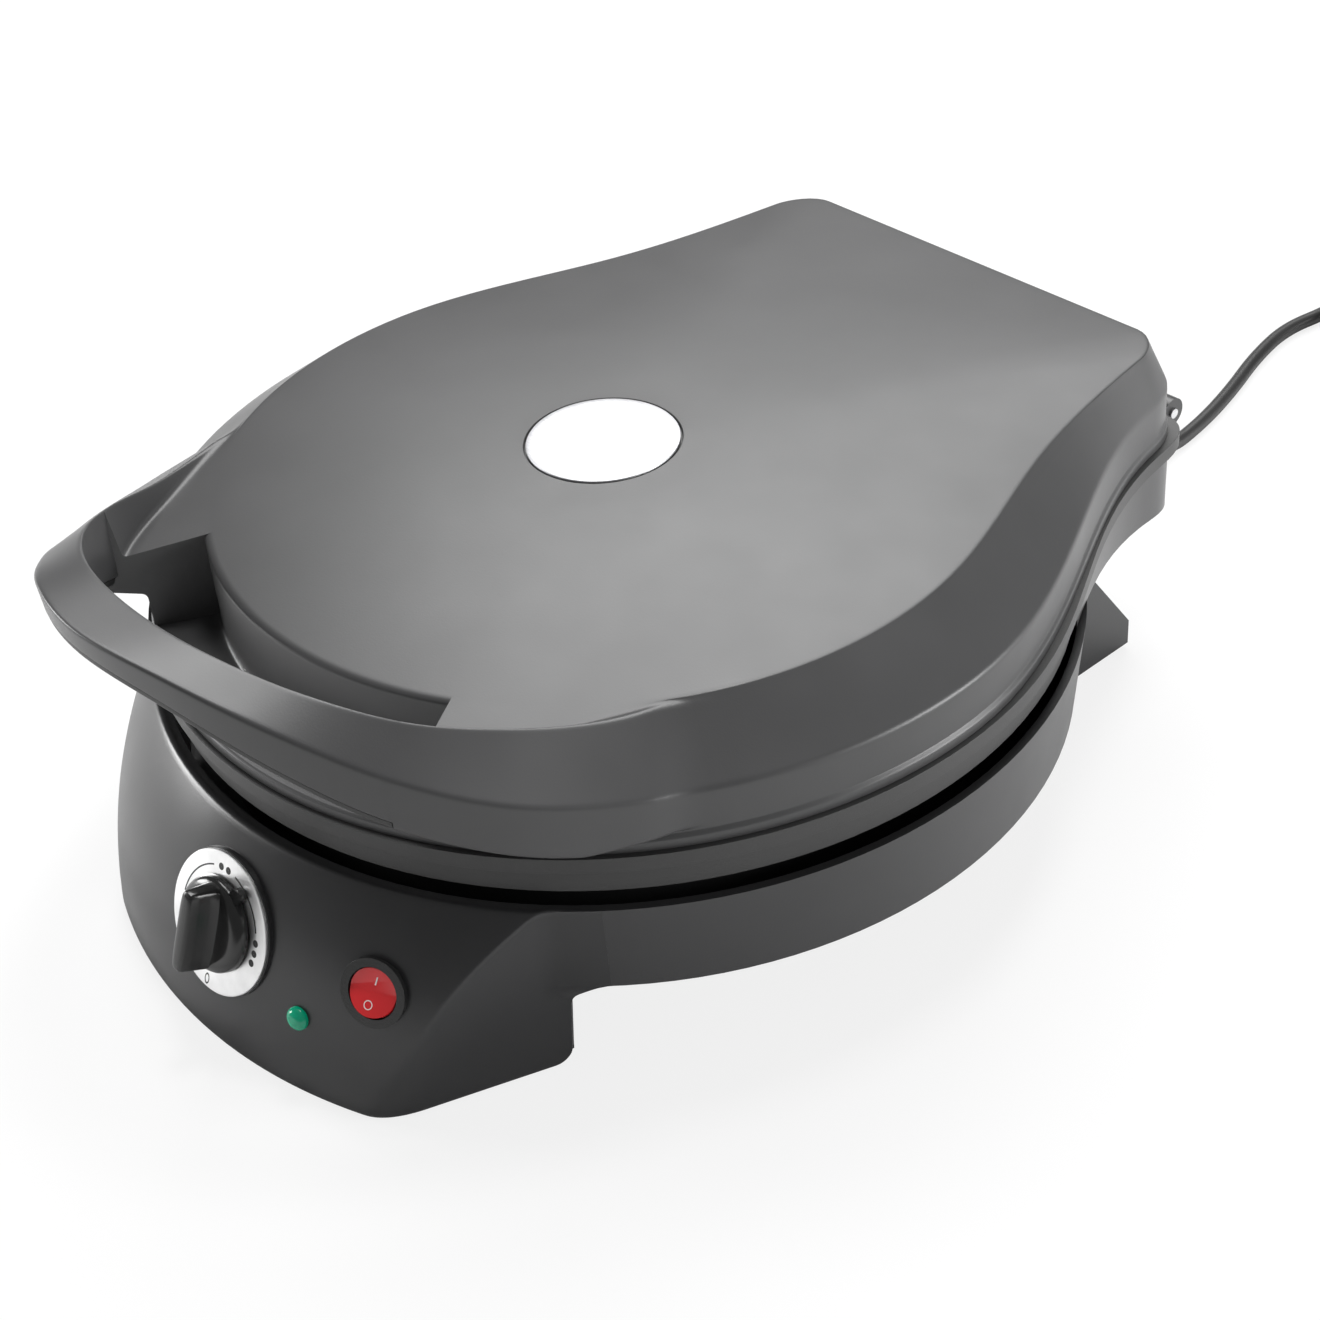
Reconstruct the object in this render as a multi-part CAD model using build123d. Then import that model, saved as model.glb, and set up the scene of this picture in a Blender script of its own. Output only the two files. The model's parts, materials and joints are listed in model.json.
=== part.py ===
from build123d import *
import math
import os

os.makedirs("parts", exist_ok=True)

# An electric pizza maker: a round dish base on legs with a control console at the front,
# and a domed lid with a raised loop handle, hinged at the back.
# Millimetres. The table is Z = 0 and the front is -Y.

# General
WALL = 3.0
FIT = 0.3
RUNNING = 0.05
SCREW_R = 1.5
SCREW_HEAD_R = 3.4
SCREW_HEAD_T = 1.4
PLATE_R = 150.0

# Base ring, its radii from the baking plate and its levels from its floor
FOOT_T = 2.0
RIM_R = PLATE_R + 20.0
RING_FLOOR_Z = 43.0
RIM_Z = RING_FLOOR_Z + 36.0
RING_FLOOR_R = RIM_R - 3.3
TROUGH_INNER_R = PLATE_R + 2.0
CUP_TOP_Z = RIM_Z - 5.0

# Console under the front of the ring
CONSOLE_FOOT_R = RIM_R + 30.0
CONSOLE_MID_R = RIM_R + 21.3
CONSOLE_MID_Z = 40.0
CONSOLE_TOP_R = RIM_R + 2.0
CONSOLE_TOP_Z = RIM_Z - 1.0
SIDE_X = RIM_R - 65.0
SIDE_Y = 49.0 - RIM_R
SIDE_SLOPE = 0.373
SIDE_LEAN = 0.115
STRIP_R = RIM_R + 4.0
STRIP_Z = RIM_Z + 1.0
STRIP_T = 5.0
STRIP_ANGLE = 40.5
CONSOLE_FLOOR_T = 2.6

# Legs at the back, and the rubber feet
LEG_WIDTH = 31.0
LEG_X = RIM_R - 110.0
LEG_FRONT_Y = RIM_R - 32.0
LEG_BACK_Y = RIM_R + 14.0
LEG_TOE_Z = 13.0
LEG_SLOPE_RUN = 24.0
FOOT_R = 8.0
FOOT_INSET = 14.0
FOOT_FRONT_X = SIDE_X - 35.0
FOOT_FRONT_Y = SIDE_Y - 44.0

# Lid levels
SKIRT_Z = RIM_Z + 5.0
SEAM_Z = RIM_Z + 15.0
FLANGE_TOP_Z = SEAM_Z + 5.8
COVER_Z = FLANGE_TOP_Z + 0.2
CREASE_Z = COVER_Z + 20.0
EDGE_Z = CREASE_Z + 18.0
CROWN_Z = EDGE_Z + 9.0

# Lid outlines seen from above: round in front, drawn in to a narrower tail at the back
LID_R = RIM_R - 4.0
LID_WRAP = 94.0
LID_WAIST = (LID_R - 35.0, LID_R - 60.0)
LID_TAIL = (LID_R - 63.0, LID_R + 12.0)
LID_BACK_Y = LID_R + 33.0
LID_CORNER = 17.0
EDGE_R = LID_R - 25.0
EDGE_WRAP = 99.0
EDGE_WAIST = (EDGE_R - 29.0, EDGE_R - 38.0)
EDGE_TAIL = (EDGE_R - 45.0, EDGE_R + 36.0)
EDGE_BACK_Y = LID_BACK_Y - 6.0
EDGE_CORNER = 15.0
TAIL_LEAN = 0.16
FLANGE_REACH = 3.0
SKIRT_R = LID_R

# Loop handle, as rises and reaches over the lid's own crease
HANDLE_SPAN = 56.0
HANDLE_ROOT = 60.0
HANDLE_STEP = 10.0
RIM_REACH = (21.5, 21.0, 16.0, 6.5, -7.5, -17.0, -23.5)
RIM_RISE = (53.5, 52.5, 45.0, 34.0, 24.0, 19.0, 18.0)
CREASE_REACH = (43.5, 39.4, 31.5, 23.5, 16.5, 7.5, 0.5)
CREASE_RISE = (58.0, 54.0, 40.0, 24.0, 12.5, 4.5, 0.5)
HANDLE_DEPTH_FRONT = 12.0
HANDLE_DEPTH_ROOT = 21.0
HANDLE_DEPTH_SPAN = 28.0
NOTCH_ANGLE = 29.0
NOTCH_R = EDGE_R + 1.6
NOTCH_Z = COVER_Z + 4.0
SHOULDER_DROP = 3.0
LOWER_COVER_T = 3.0

# Badge disc
BADGE_R = 27.5
BADGE_T = 1.4
BADGE_GAP = 0.6

# Everything is drawn about the plate's axis, then moved so that the origin is under the middle
CENTRE_Y = -4.8

# Hinge
HINGE_Z = SEAM_Z - 1.0
KNUCKLE_R = 6.0
HINGE_PIN_R = 2.0
HINGE_PIN_HEAD_R = 3.4
HINGE_X = 52.0
HINGE_BACK = 5.6
KNUCKLE_BASE_W = 8.0
KNUCKLE_LID_W = 15.4
HOUSING_BACK_Z = RIM_Z - 13.0
HOUSING_FRONT_Z = RIM_Z + 1.0
HOUSING_FRONT_Y = LID_R - 61.0

# Baking plate and lower heating
PLATE_T = 3.0
PLATE_RIM_W = 3.0
PLATE_RIM_T = 3.0
SUPPORT_INNER_R = PLATE_R - 7.0
SUPPORT_T = 3.2
TRAY_FLOOR_R = PLATE_R - 20.0
TRAY_FLOOR_Z = RING_FLOOR_Z + 8.0
SHEET_T = 1.2
ELEMENT_R = 3.3
ELEMENT_GAP_ANGLE = 16.0
LOWER_ELEMENT_RING_R = PLATE_R - 45.0
LOWER_ELEMENT_Z = TRAY_FLOOR_Z + 11.0
UPPER_ELEMENT_RING_R = PLATE_R - 54.0
UPPER_ELEMENT_Z = SEAM_Z + 18.0
CLIP_W = 9.0
CLIP_T = 5.0

# Lid reflector
REFLECTOR_SEAT = 3.0
REFLECTOR_SHOULDER_R = PLATE_R - 12.0
REFLECTOR_FLAT_R = PLATE_R - 38.0
REFLECTOR_FLAT_Z = UPPER_ELEMENT_Z + 12.0

# Underside cover
UNDER_R = RING_FLOOR_R - 8.7
UNDER_T = 2.6
VENT_COUNT = 12
VENT_R = 4.0
UNDER_SCREWS = 6

# Controls on the console
DIAL_R = 25.4
DIAL_T = 1.2
DIAL_PAD = 1.0
DIAL_PAD_R = 26.6
PAD_ROOT = 0.6
KNOB_R = 17.4
KNOB_BASE_T = 5.0
KNOB_GRIP_L = 33.0
KNOB_GRIP_W = 6.4
KNOB_GRIP_H = 10.0
KNOB_SHAFT_R = 3.0
BUSH_R = 5.0
KNOB_START = DIAL_PAD + DIAL_T + 0.4
SHAFT_IN_KNOB = 8.5
SHAFT_SEAT = 8.0
PANEL_GAP = 1.4
THERMOSTAT_R = 12.0
THERMOSTAT_DEPTH = 12.0
POINTER_ANGLE = 32.0
POINTER_REACH = 3.6
SWITCH_ANGLE = 23.2
SWITCH_TILT = 23.0
SWITCH_HEIGHT = 49.6
BEZEL_R = 12.0
BEZEL_T = 2.2
SWITCH_BODY_R = 10.0
SWITCH_DEPTH = 13.0
TERMINAL_L = 4.0
ROCKER_R = 8.7
ROCKER_V = 9.0
ROCKER_WAIST = 1.4
ROCKER_THROW = 16.0
LAMP_ANGLE = 14.4
LAMP_TILT = 17.0
LAMP_HEIGHT = 31.2
LAMP_R = 4.2
DIAL_ANGLE = 2.4
DIAL_TILT = 22.1
DIAL_HEIGHT = 48.0

# Cord
CORD_R = 3.25
CORD_X = 10.0
CORD_Z = RIM_Z - 2.0
RELIEF_L = 26.0
RELIEF_R = 6.0
COIL_LAYER = 7.1
COIL_R = 39.5
COIL_STEP = 3.55
END_ASIDE = 9.0
COIL_START_X = -7.0
COIL_START_Y = 472.0
PLUG_L = 34.0
PLUG_W = 30.0
PLUG_RELIEF_L = 22.0
PIN_R = 2.4
PIN_L = 19.0
PIN_SPACING = 19.0


def polar(radius, angle, z=0.0):
    """Point at an angle from the front, positive toward +X."""
    a = math.radians(angle)
    return Vector(radius * math.sin(a), -radius * math.cos(a), z)


def turned(points, closed=True):
    """Solid of revolution about Z from points given as (radius, z)."""
    line = Polyline(*points, close=closed)
    return revolve(Plane.XZ * make_face(line), Axis.Z)


def cylinder(radius, z_low, z_high, x=0.0, y=0.0):
    return Pos(x, y, z_low) * Cylinder(radius, z_high - z_low, align=(Align.CENTER, Align.CENTER, Align.MIN))


def sector(inner_r, outer_r, half_angle, z_low, z_high, centre=0.0):
    """Block between two radii, half_angle to each side of centre."""
    first = centre - half_angle
    last = centre + half_angle
    edges = [
        ThreePointArc(polar(outer_r, first), polar(outer_r, centre), polar(outer_r, last)),
        Line(polar(outer_r, last), polar(inner_r, last)),
        ThreePointArc(polar(inner_r, last), polar(inner_r, centre), polar(inner_r, first)),
        Line(polar(inner_r, first), polar(outer_r, first)),
    ]
    return extrude(Pos(0, 0, z_low) * make_face(edges), z_high - z_low)


def outline(radius, wrap, waist, tail, back_y, corner, z, inset=0.0):
    """Face of the lid's outline at a height, drawn in by inset."""
    r = radius - inset
    start = polar(r, wrap)
    leave = Vector(math.cos(math.radians(wrap)), math.sin(math.radians(wrap)))
    run = Vector(-TAIL_LEAN, 1.0).normalized()
    mid = Vector(waist[0] - inset, waist[1])
    end = Vector(tail[0] - inset, tail[1])
    turn = Vector(end.X - corner, back_y - inset)
    left = Vector(-1.0, 0.0)
    side = Spline(start, mid, end, tangents=(leave, run))
    rounding = Spline(end, turn, tangents=(run, left))
    nose = ThreePointArc(polar(r, -wrap), polar(r, 0.0), start)
    back = Line(turn, Vector(-turn.X, turn.Y))
    edges = [nose, side, rounding, back, mirror(rounding, Plane.YZ), mirror(side, Plane.YZ)]
    return Pos(0, 0, z) * make_face(edges)


def wall_outline(z, inset=0.0):
    return outline(LID_R, LID_WRAP, LID_WAIST, LID_TAIL, LID_BACK_Y, LID_CORNER, z, inset)


def edge_outline(z, inset=0.0):
    return outline(EDGE_R, EDGE_WRAP, EDGE_WAIST, EDGE_TAIL, EDGE_BACK_Y, EDGE_CORNER, z, inset)


def wall_block(z_low, z_high, inset=0.0):
    return extrude(wall_outline(z_low, inset), z_high - z_low)


def surface_plane(angle, tilt, height):
    """Plane on the console's curved front, with its X level and its Z pointing out."""
    radius = console_radius(height)
    a = math.radians(angle)
    k = math.radians(tilt)
    normal = Vector(math.sin(a) * math.cos(k), -math.cos(a) * math.cos(k), math.sin(k))
    level = Vector(math.cos(a), math.sin(a), 0)
    return Plane(origin=polar(radius, angle, height), x_dir=level, z_dir=normal)


def console_arc():
    """Circle through the console's foot, middle and top, as centre radius, centre z and radius."""
    x1, y1 = CONSOLE_FOOT_R, FOOT_T
    x2, y2 = CONSOLE_MID_R, CONSOLE_MID_Z
    x3, y3 = CONSOLE_TOP_R, CONSOLE_TOP_Z
    d = 2 * (x1 * (y2 - y3) + x2 * (y3 - y1) + x3 * (y1 - y2))
    s1, s2, s3 = x1 * x1 + y1 * y1, x2 * x2 + y2 * y2, x3 * x3 + y3 * y3
    cx = (s1 * (y2 - y3) + s2 * (y3 - y1) + s3 * (y1 - y2)) / d
    cy = (s1 * (x3 - x2) + s2 * (x1 - x3) + s3 * (x2 - x1)) / d
    return cx, cy, math.hypot(x1 - cx, y1 - cy)


def console_radius(z):
    cx, cy, r = console_arc()
    return cx + math.sqrt(r * r - (z - cy) ** 2)


def console_turned(inset, z_low, z_high):
    """The console's round body, its curved front drawn in by inset."""
    core = 90.0
    mid = (z_low + z_high) / 2
    front = ThreePointArc(
        (console_radius(z_low) - inset, z_low),
        (console_radius(mid) - inset, mid),
        (console_radius(z_high) - inset, z_high),
    )
    edges = [
        front,
        Line(front @ 1, (core, z_high)),
        Line((core, z_high), (core, z_low)),
        Line((core, z_low), front @ 0),
    ]
    return revolve(Plane.XZ * make_face(edges), Axis.Z)


def console_wedge(inset, z_low, z_high, back=0.0):
    """The space between the console's leaning side walls, drawn in by inset."""
    faces = []
    for z in (z_low, z_high):
        back_y = SIDE_Y + back
        front_y = -CONSOLE_FOOT_R - 15
        half_back = SIDE_X + SIDE_LEAN * z + SIDE_SLOPE * back - inset
        half_front = half_back + SIDE_SLOPE * (front_y - back_y)
        corners = [(half_back, back_y), (half_front, front_y), (-half_front, front_y), (-half_back, back_y)]
        faces.append(Pos(0, 0, z) * make_face(Polyline(*corners, close=True)))
    return loft(faces, ruled=True)


def dish_clearance():
    """Everything that stays free for the dish, its floor cover and its trough."""
    slope = (RIM_R - RING_FLOOR_R) / (RIM_Z - RING_FLOOR_Z)
    trough_floor = RING_FLOOR_Z + WALL
    floor_r = RING_FLOOR_R - WALL + slope * WALL
    high = CREASE_Z
    dish = turned([(0, trough_floor), (floor_r, trough_floor), (RIM_R - WALL, RIM_Z), (RIM_R - WALL, high), (0, high)])
    return dish + cylinder(UNDER_R + 1, RING_FLOOR_Z - UNDER_T - 0.6, RING_FLOOR_Z)


def base_ring():
    slope = (RIM_R - RING_FLOOR_R) / (RIM_Z - RING_FLOOR_Z)
    trough_floor = RING_FLOOR_Z + WALL
    return turned([
        (RING_FLOOR_R, RING_FLOOR_Z),
        (RIM_R, RIM_Z),
        (RIM_R - WALL, RIM_Z),
        (RING_FLOOR_R - WALL + slope * WALL, trough_floor),
        (TROUGH_INNER_R, trough_floor),
        (TROUGH_INNER_R, CUP_TOP_Z),
        (TROUGH_INNER_R - WALL, CUP_TOP_Z),
        (TROUGH_INNER_R - WALL, RING_FLOOR_Z),
    ])


def console_space():
    """The console's hollow, open at the bottom and the front."""
    body = console_turned(0.0, FOOT_T - 1, STRIP_Z)
    return body & console_wedge(WALL, FOOT_T - 1, STRIP_Z, back=WALL * -1.0)


def console_walls():
    body = console_turned(0.0, FOOT_T, CONSOLE_TOP_Z) & console_wedge(0.0, FOOT_T, CONSOLE_TOP_Z)
    inner = console_turned(-5.0, FOOT_T - 1, CONSOLE_TOP_Z + 1)
    inner = inner & console_wedge(WALL, FOOT_T - 1, CONSOLE_TOP_Z + 1, back=-WALL)
    return body - inner


def back_leg(side):
    top = RING_FLOOR_Z + WALL
    profile = [
        (LEG_FRONT_Y, FOOT_T),
        (LEG_BACK_Y, FOOT_T),
        (LEG_BACK_Y, LEG_TOE_Z),
        (LEG_BACK_Y - LEG_SLOPE_RUN, top),
        (LEG_FRONT_Y, top),
    ]
    face = make_face(Polyline(*profile, close=True))
    block = extrude(Plane.YZ * face, LEG_WIDTH)
    block = Pos(LEG_X, 0, 0) * block
    if side < 0:
        block = mirror(block, Plane.YZ)
    return block


def housing_floor(lift):
    """Everything under the hinge housing's sloping floor, raised by lift."""
    y_far = LID_BACK_Y + 30
    drop = (HOUSING_FRONT_Z - HOUSING_BACK_Z) / (LID_BACK_Y - HOUSING_FRONT_Y)
    z_far = HOUSING_BACK_Z - drop * 30 + lift
    points = [
        (HOUSING_FRONT_Y, HOUSING_FRONT_Z + lift),
        (y_far, z_far),
        (y_far, 0),
        (0, 0),
        (0, HOUSING_FRONT_Z + lift),
    ]
    block = extrude(Plane.YZ * make_face(Polyline(*points, close=True)), 2 * RIM_R, both=True)
    return block


def hinge_housing():
    top = SEAM_Z - 1.7
    outer = wall_block(HOUSING_BACK_Z - 10, top) - housing_floor(0.0)
    inner = wall_block(HOUSING_BACK_Z - 20, top - WALL, WALL)
    ring_wall = cylinder(RIM_R - WALL / 2, HOUSING_BACK_Z - 30, top - WALL)
    return outer - (inner - ring_wall)


def hinge_y():
    return LID_BACK_Y + FLANGE_REACH + KNUCKLE_R + HINGE_BACK


def knuckle(x_low, width, z_arm, bore):
    """A hinge knuckle with an arm forward to the shell, at one side of the part."""
    y = hinge_y()
    arm_y = LID_BACK_Y - 1.0
    barrel = Pos(x_low, y, HINGE_Z) * Rot(0, 90, 0) * Cylinder(
        KNUCKLE_R, width, align=(Align.CENTER, Align.CENTER, Align.MIN))
    arm = Pos(x_low, arm_y, min(HINGE_Z, z_arm)) * Box(
        width, y - arm_y, abs(z_arm - HINGE_Z), align=(Align.MIN, Align.MIN, Align.MIN))
    hole = Pos(x_low - 1, y, HINGE_Z) * Rot(0, 90, 0) * Cylinder(
        bore, width + 2, align=(Align.CENTER, Align.CENTER, Align.MIN))
    return barrel + arm - hole


def both_sides(solid):
    return solid + mirror(solid, Plane.YZ)


def base_knuckles():
    first = knuckle(HINGE_X, KNUCKLE_BASE_W, HINGE_Z - KNUCKLE_R * 1.6, HINGE_PIN_R + RUNNING)
    x_second = HINGE_X + KNUCKLE_BASE_W + FIT * 2 + KNUCKLE_LID_W
    second = knuckle(x_second, KNUCKLE_BASE_W, HINGE_Z - KNUCKLE_R * 1.6, HINGE_PIN_R + RUNNING)
    return both_sides(first + second)


def under_screw_points():
    return [polar((TROUGH_INNER_R + UNDER_R) / 2, 30 + 360 / UNDER_SCREWS * i) for i in range(UNDER_SCREWS)]


def base_shell():
    body = base_ring() + console_walls() + back_leg(1) + back_leg(-1) + hinge_housing()
    body = body - dish_clearance()
    body = body - sector(RIM_R - 1.0, STRIP_R + 6, STRIP_ANGLE, STRIP_Z - STRIP_T - 0.5, STRIP_Z + 5)
    body = body + base_ring() + base_knuckles()
    for p in under_screw_points():
        body = body - cylinder(SCREW_R + 0.1, RING_FLOOR_Z - 1, RING_FLOOR_Z + WALL - 0.6, p.X, p.Y)
    gland = Pos(CORD_X, LID_BACK_Y + 5, CORD_Z) * Rot(90, 0, 0) * Cylinder(
        RELIEF_R + 0.1, 20, align=(Align.CENTER, Align.CENTER, Align.MIN))
    return body - gland


def panel_front():
    """The panel's curved front with its flush strip along the rim, one turned section."""
    low = FOOT_T
    high = STRIP_Z - STRIP_T
    mid = (low + high) / 2
    outer = ThreePointArc(*[(console_radius(z), z) for z in (low, mid, high)])
    inner = ThreePointArc(*[(console_radius(z) - WALL, z) for z in (low, mid, high)])
    strip = Polyline(
        outer @ 1, (STRIP_R, high + 0.5), (STRIP_R, STRIP_Z),
        (RIM_R + 0.15, STRIP_Z), (RIM_R + 0.15, high), inner @ 1)
    return revolve(Plane.XZ * make_face([outer, strip, inner, Line(inner @ 0, outer @ 0)]), Axis.Z)


def control_panel():
    dial = surface_plane(DIAL_ANGLE, DIAL_TILT, DIAL_HEIGHT)
    pad_low = -WALL - PAD_ROOT
    pad = on(dial, pad_low, drum(DIAL_PAD_R, DIAL_PAD - pad_low))
    panel = (panel_front() & console_wedge(WALL + 0.1, FOOT_T, STRIP_Z)) + pad
    panel = panel - dial * Cylinder(BUSH_R + 0.1, 30)
    switch = surface_plane(SWITCH_ANGLE, SWITCH_TILT, SWITCH_HEIGHT)
    panel = panel - switch * Cylinder(SWITCH_BODY_R + 0.1, 30)
    lamp = surface_plane(LAMP_ANGLE, LAMP_TILT, LAMP_HEIGHT)
    return panel - lamp * Cylinder(LAMP_R + 0.1, 30)


def console_floor():
    plate = console_turned(WALL + FIT, FOOT_T, FOOT_T + CONSOLE_FLOOR_T)
    return plate & console_wedge(WALL + FIT, FOOT_T, FOOT_T + CONSOLE_FLOOR_T, back=-WALL)


def under_cover():
    low = RING_FLOOR_Z - UNDER_T
    plate = cylinder(UNDER_R, low, RING_FLOOR_Z)
    for i in range(VENT_COUNT):
        p = polar(UNDER_R * 0.55, 360 / VENT_COUNT * i)
        plate = plate - cylinder(VENT_R, low - 1, RING_FLOOR_Z + 1, p.X, p.Y)
    for p in under_screw_points():
        plate = plate - cylinder(SCREW_R + 0.1, low - 1, RING_FLOOR_Z + 1, p.X, p.Y)
    return plate


def under_screws():
    low = RING_FLOOR_Z - UNDER_T
    solids = []
    for p in under_screw_points():
        head = cylinder(SCREW_HEAD_R, low - SCREW_HEAD_T, low, p.X, p.Y)
        shank = cylinder(SCREW_R, low, RING_FLOOR_Z + WALL - 0.8, p.X, p.Y)
        solids.append(head + shank)
    return solids


def rear_cover():
    top = SEAM_Z - 1.7 - WALL - FIT
    slab = wall_block(HOUSING_BACK_Z - 10, top, WALL + FIT) - housing_floor(0.0)
    slab = slab & (housing_floor(UNDER_T))
    return slab - cylinder(RIM_R + FIT, 0, top + 1)


def foot_points():
    back_x = LEG_X + LEG_WIDTH / 2
    back_y = LEG_BACK_Y - FOOT_INSET
    front = [Vector(FOOT_FRONT_X, FOOT_FRONT_Y), Vector(-FOOT_FRONT_X, FOOT_FRONT_Y)]
    return front + [Vector(back_x, back_y), Vector(-back_x, back_y)]


def rubber_feet():
    return [cylinder(FOOT_R, 0, FOOT_T, p.X, p.Y) for p in foot_points()]


def plate_support():
    return turned([
        (SUPPORT_INNER_R, CUP_TOP_Z),
        (TROUGH_INNER_R, CUP_TOP_Z),
        (TROUGH_INNER_R, CUP_TOP_Z + SUPPORT_T),
        (SUPPORT_INNER_R, CUP_TOP_Z + SUPPORT_T),
    ])


def baking_plate():
    low = CUP_TOP_Z + SUPPORT_T
    top = low + PLATE_T
    return turned([
        (0, low),
        (PLATE_R, low),
        (PLATE_R, top + PLATE_RIM_T),
        (PLATE_R - PLATE_RIM_W, top + PLATE_RIM_T),
        (PLATE_R - PLATE_RIM_W, top),
        (0, top),
    ])


def lower_tray():
    lip_z = CUP_TOP_Z
    lip_in = SUPPORT_INNER_R - 2
    lip_out = TROUGH_INNER_R - WALL - FIT
    tray = turned([
        (0, TRAY_FLOOR_Z),
        (TRAY_FLOOR_R, TRAY_FLOOR_Z),
        (lip_in + SHEET_T, lip_z - SHEET_T),
        (lip_out, lip_z - SHEET_T),
        (lip_out, lip_z),
        (lip_in, lip_z),
        (TRAY_FLOOR_R - SHEET_T, TRAY_FLOOR_Z + SHEET_T),
        (0, TRAY_FLOOR_Z + SHEET_T),
    ])
    for a in (-ELEMENT_GAP_ANGLE, ELEMENT_GAP_ANGLE):
        p = polar(LOWER_ELEMENT_RING_R, a)
        tray = tray - cylinder(ELEMENT_R + 0.8, TRAY_FLOOR_Z - 5, TRAY_FLOOR_Z + 5, p.X, p.Y)
    return tray


def element(ring_r, z, centre, z_end):
    """Tubular heater: an open ring whose two ends turn to z_end."""
    first = centre + ELEMENT_GAP_ANGLE
    middle = centre + 180
    last = centre + 360 - ELEMENT_GAP_ANGLE
    path = ThreePointArc(polar(ring_r, first, z), polar(ring_r, middle, z), polar(ring_r, last, z))
    tube = sweep(Plane(origin=path @ 0, z_dir=path % 0) * Circle(ELEMENT_R), path=path)
    for a in (first, last):
        p = polar(ring_r, a)
        tube = tube + cylinder(ELEMENT_R, min(z, z_end), max(z, z_end), p.X, p.Y)
        tube = tube + Pos(p.X, p.Y, z) * Sphere(ELEMENT_R)
    return tube


def clips(ring_r, z_low, z_high, centre):
    solids = []
    for a in (90, 180, 270):
        p = polar(ring_r, centre + a)
        block = Box(CLIP_W, CLIP_T, z_high - z_low, align=(Align.CENTER, Align.CENTER, Align.MIN))
        solids.append(Pos(p.X, p.Y, z_low) * Rot(0, 0, centre + a) * block)
    return solids


def smooth(t):
    t = min(max(t, 0.0), 1.0)
    return t * t * (3 - 2 * t)


def eased(knots, angle):
    """Smooth curve through values given every HANDLE_STEP degrees, level at the front."""
    place = min(abs(angle) / HANDLE_STEP, len(knots) - 1.001)
    i = int(place)
    t = place - i
    before = knots[abs(i - 1)]
    after = knots[min(i + 2, len(knots) - 1)]
    bend = 2 * before - 5 * knots[i] + 4 * knots[i + 1] - after
    twist = 3 * knots[i] - before - 3 * knots[i + 1] + after
    return knots[i] + 0.5 * t * (knots[i + 1] - before + t * (bend + t * twist))


def handle_points(angle):
    """Rim, crease and lower edge of the handle at an angle from the front, as (radius, z)."""
    rim = (LID_R + eased(RIM_REACH, angle), CREASE_Z + eased(RIM_RISE, angle))
    crease = (LID_R + eased(CREASE_REACH, angle), CREASE_Z + eased(CREASE_RISE, angle))
    depth = HANDLE_DEPTH_FRONT + (HANDLE_DEPTH_ROOT - HANDLE_DEPTH_FRONT) * smooth(abs(angle) / HANDLE_DEPTH_SPAN)
    return rim, crease, (crease[0] - 1.0, crease[1] - depth)


def upright_face(points, angle):
    corners = [polar(r, angle, z) for r, z in points]
    return make_face(Polyline(*corners, close=True))


def handle_bar():
    """The free part of the loop, between the notch's two ends."""
    end = NOTCH_ANGLE + 2
    faces = []
    for i in range(-7, 8):
        angle = end * i / 7
        rim, crease, low = handle_points(angle)
        bottom = low[1] + LOWER_COVER_T
        faces.append(upright_face([rim, crease, (low[0], bottom), (rim[0] + 0.5, bottom)], angle))
    return loft(faces)


def handle_root(side):
    """Where the loop runs into the lid, with its shoulder behind the rim."""
    faces = []
    steps = 6
    first = NOTCH_ANGLE
    last = HANDLE_ROOT + 1
    for i in range(steps + 1):
        angle = first + (last - first) * i / steps
        rim, crease, low = handle_points(angle)
        sink = 0.8 * smooth((angle - HANDLE_SPAN + 8) / 9)
        inner_r = EDGE_R - 2
        ridge_r = max(rim[0] - 2.5, inner_r + 1)
        ridge = (ridge_r, EDGE_Z - SHOULDER_DROP * (ridge_r - inner_r) / (NOTCH_R - EDGE_R + 28))
        foot = (LID_R - 6, max(low[1] - 5, NOTCH_Z + 1))
        points = [
            (inner_r, EDGE_Z - sink),
            (ridge[0], ridge[1] - sink),
            (max(rim[0], ridge_r + 0.8), max(rim[1], ridge[1] + 0.4) - sink),
            (crease[0] - sink, crease[1] - sink),
            (low[0] - sink, max(low[1], COVER_Z + 2)),
            foot,
            (inner_r, NOTCH_Z + 1),
        ]
        faces.append(upright_face(points, angle * side))
    return loft(faces, ruled=True)


def dome_sections(sections, inset, drop):
    """Outlines that shrink toward the crown of the lid."""
    for scale_by in (0.72, 0.42, 0.22):
        z = CROWN_Z - (CROWN_Z - EDGE_Z) * scale_by ** 2 - drop
        sections.append(Pos(0, 0, z) * scale(edge_outline(0.0, inset), by=(scale_by, scale_by, 1)))
    return sections


def lid_solid(inset, z_low, drop):
    walls = loft([wall_outline(z_low, inset), wall_outline(CREASE_Z - drop * 0.6, inset)], ruled=True)
    band = loft([wall_outline(CREASE_Z - drop * 0.6, inset), edge_outline(EDGE_Z - drop, inset)], ruled=True)
    dome = loft(dome_sections([edge_outline(EDGE_Z - drop, inset)], inset, drop))
    return walls + band + dome


def lid_boss_points():
    wall_in = LID_R - 10
    front = [polar(wall_in, a) for a in (70, -70, 98, -98)]
    return front + [Vector(72, 176), Vector(-72, 176)]


def lid_bosses(extra, z_low):
    solid = None
    for i, p in enumerate(lid_boss_points()):
        high = CREASE_Z + 3.2 if i < 4 else EDGE_Z
        post = cylinder(4.0 + extra, z_low, high, p.X, p.Y)
        solid = post if solid is None else solid + post
    return solid


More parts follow.
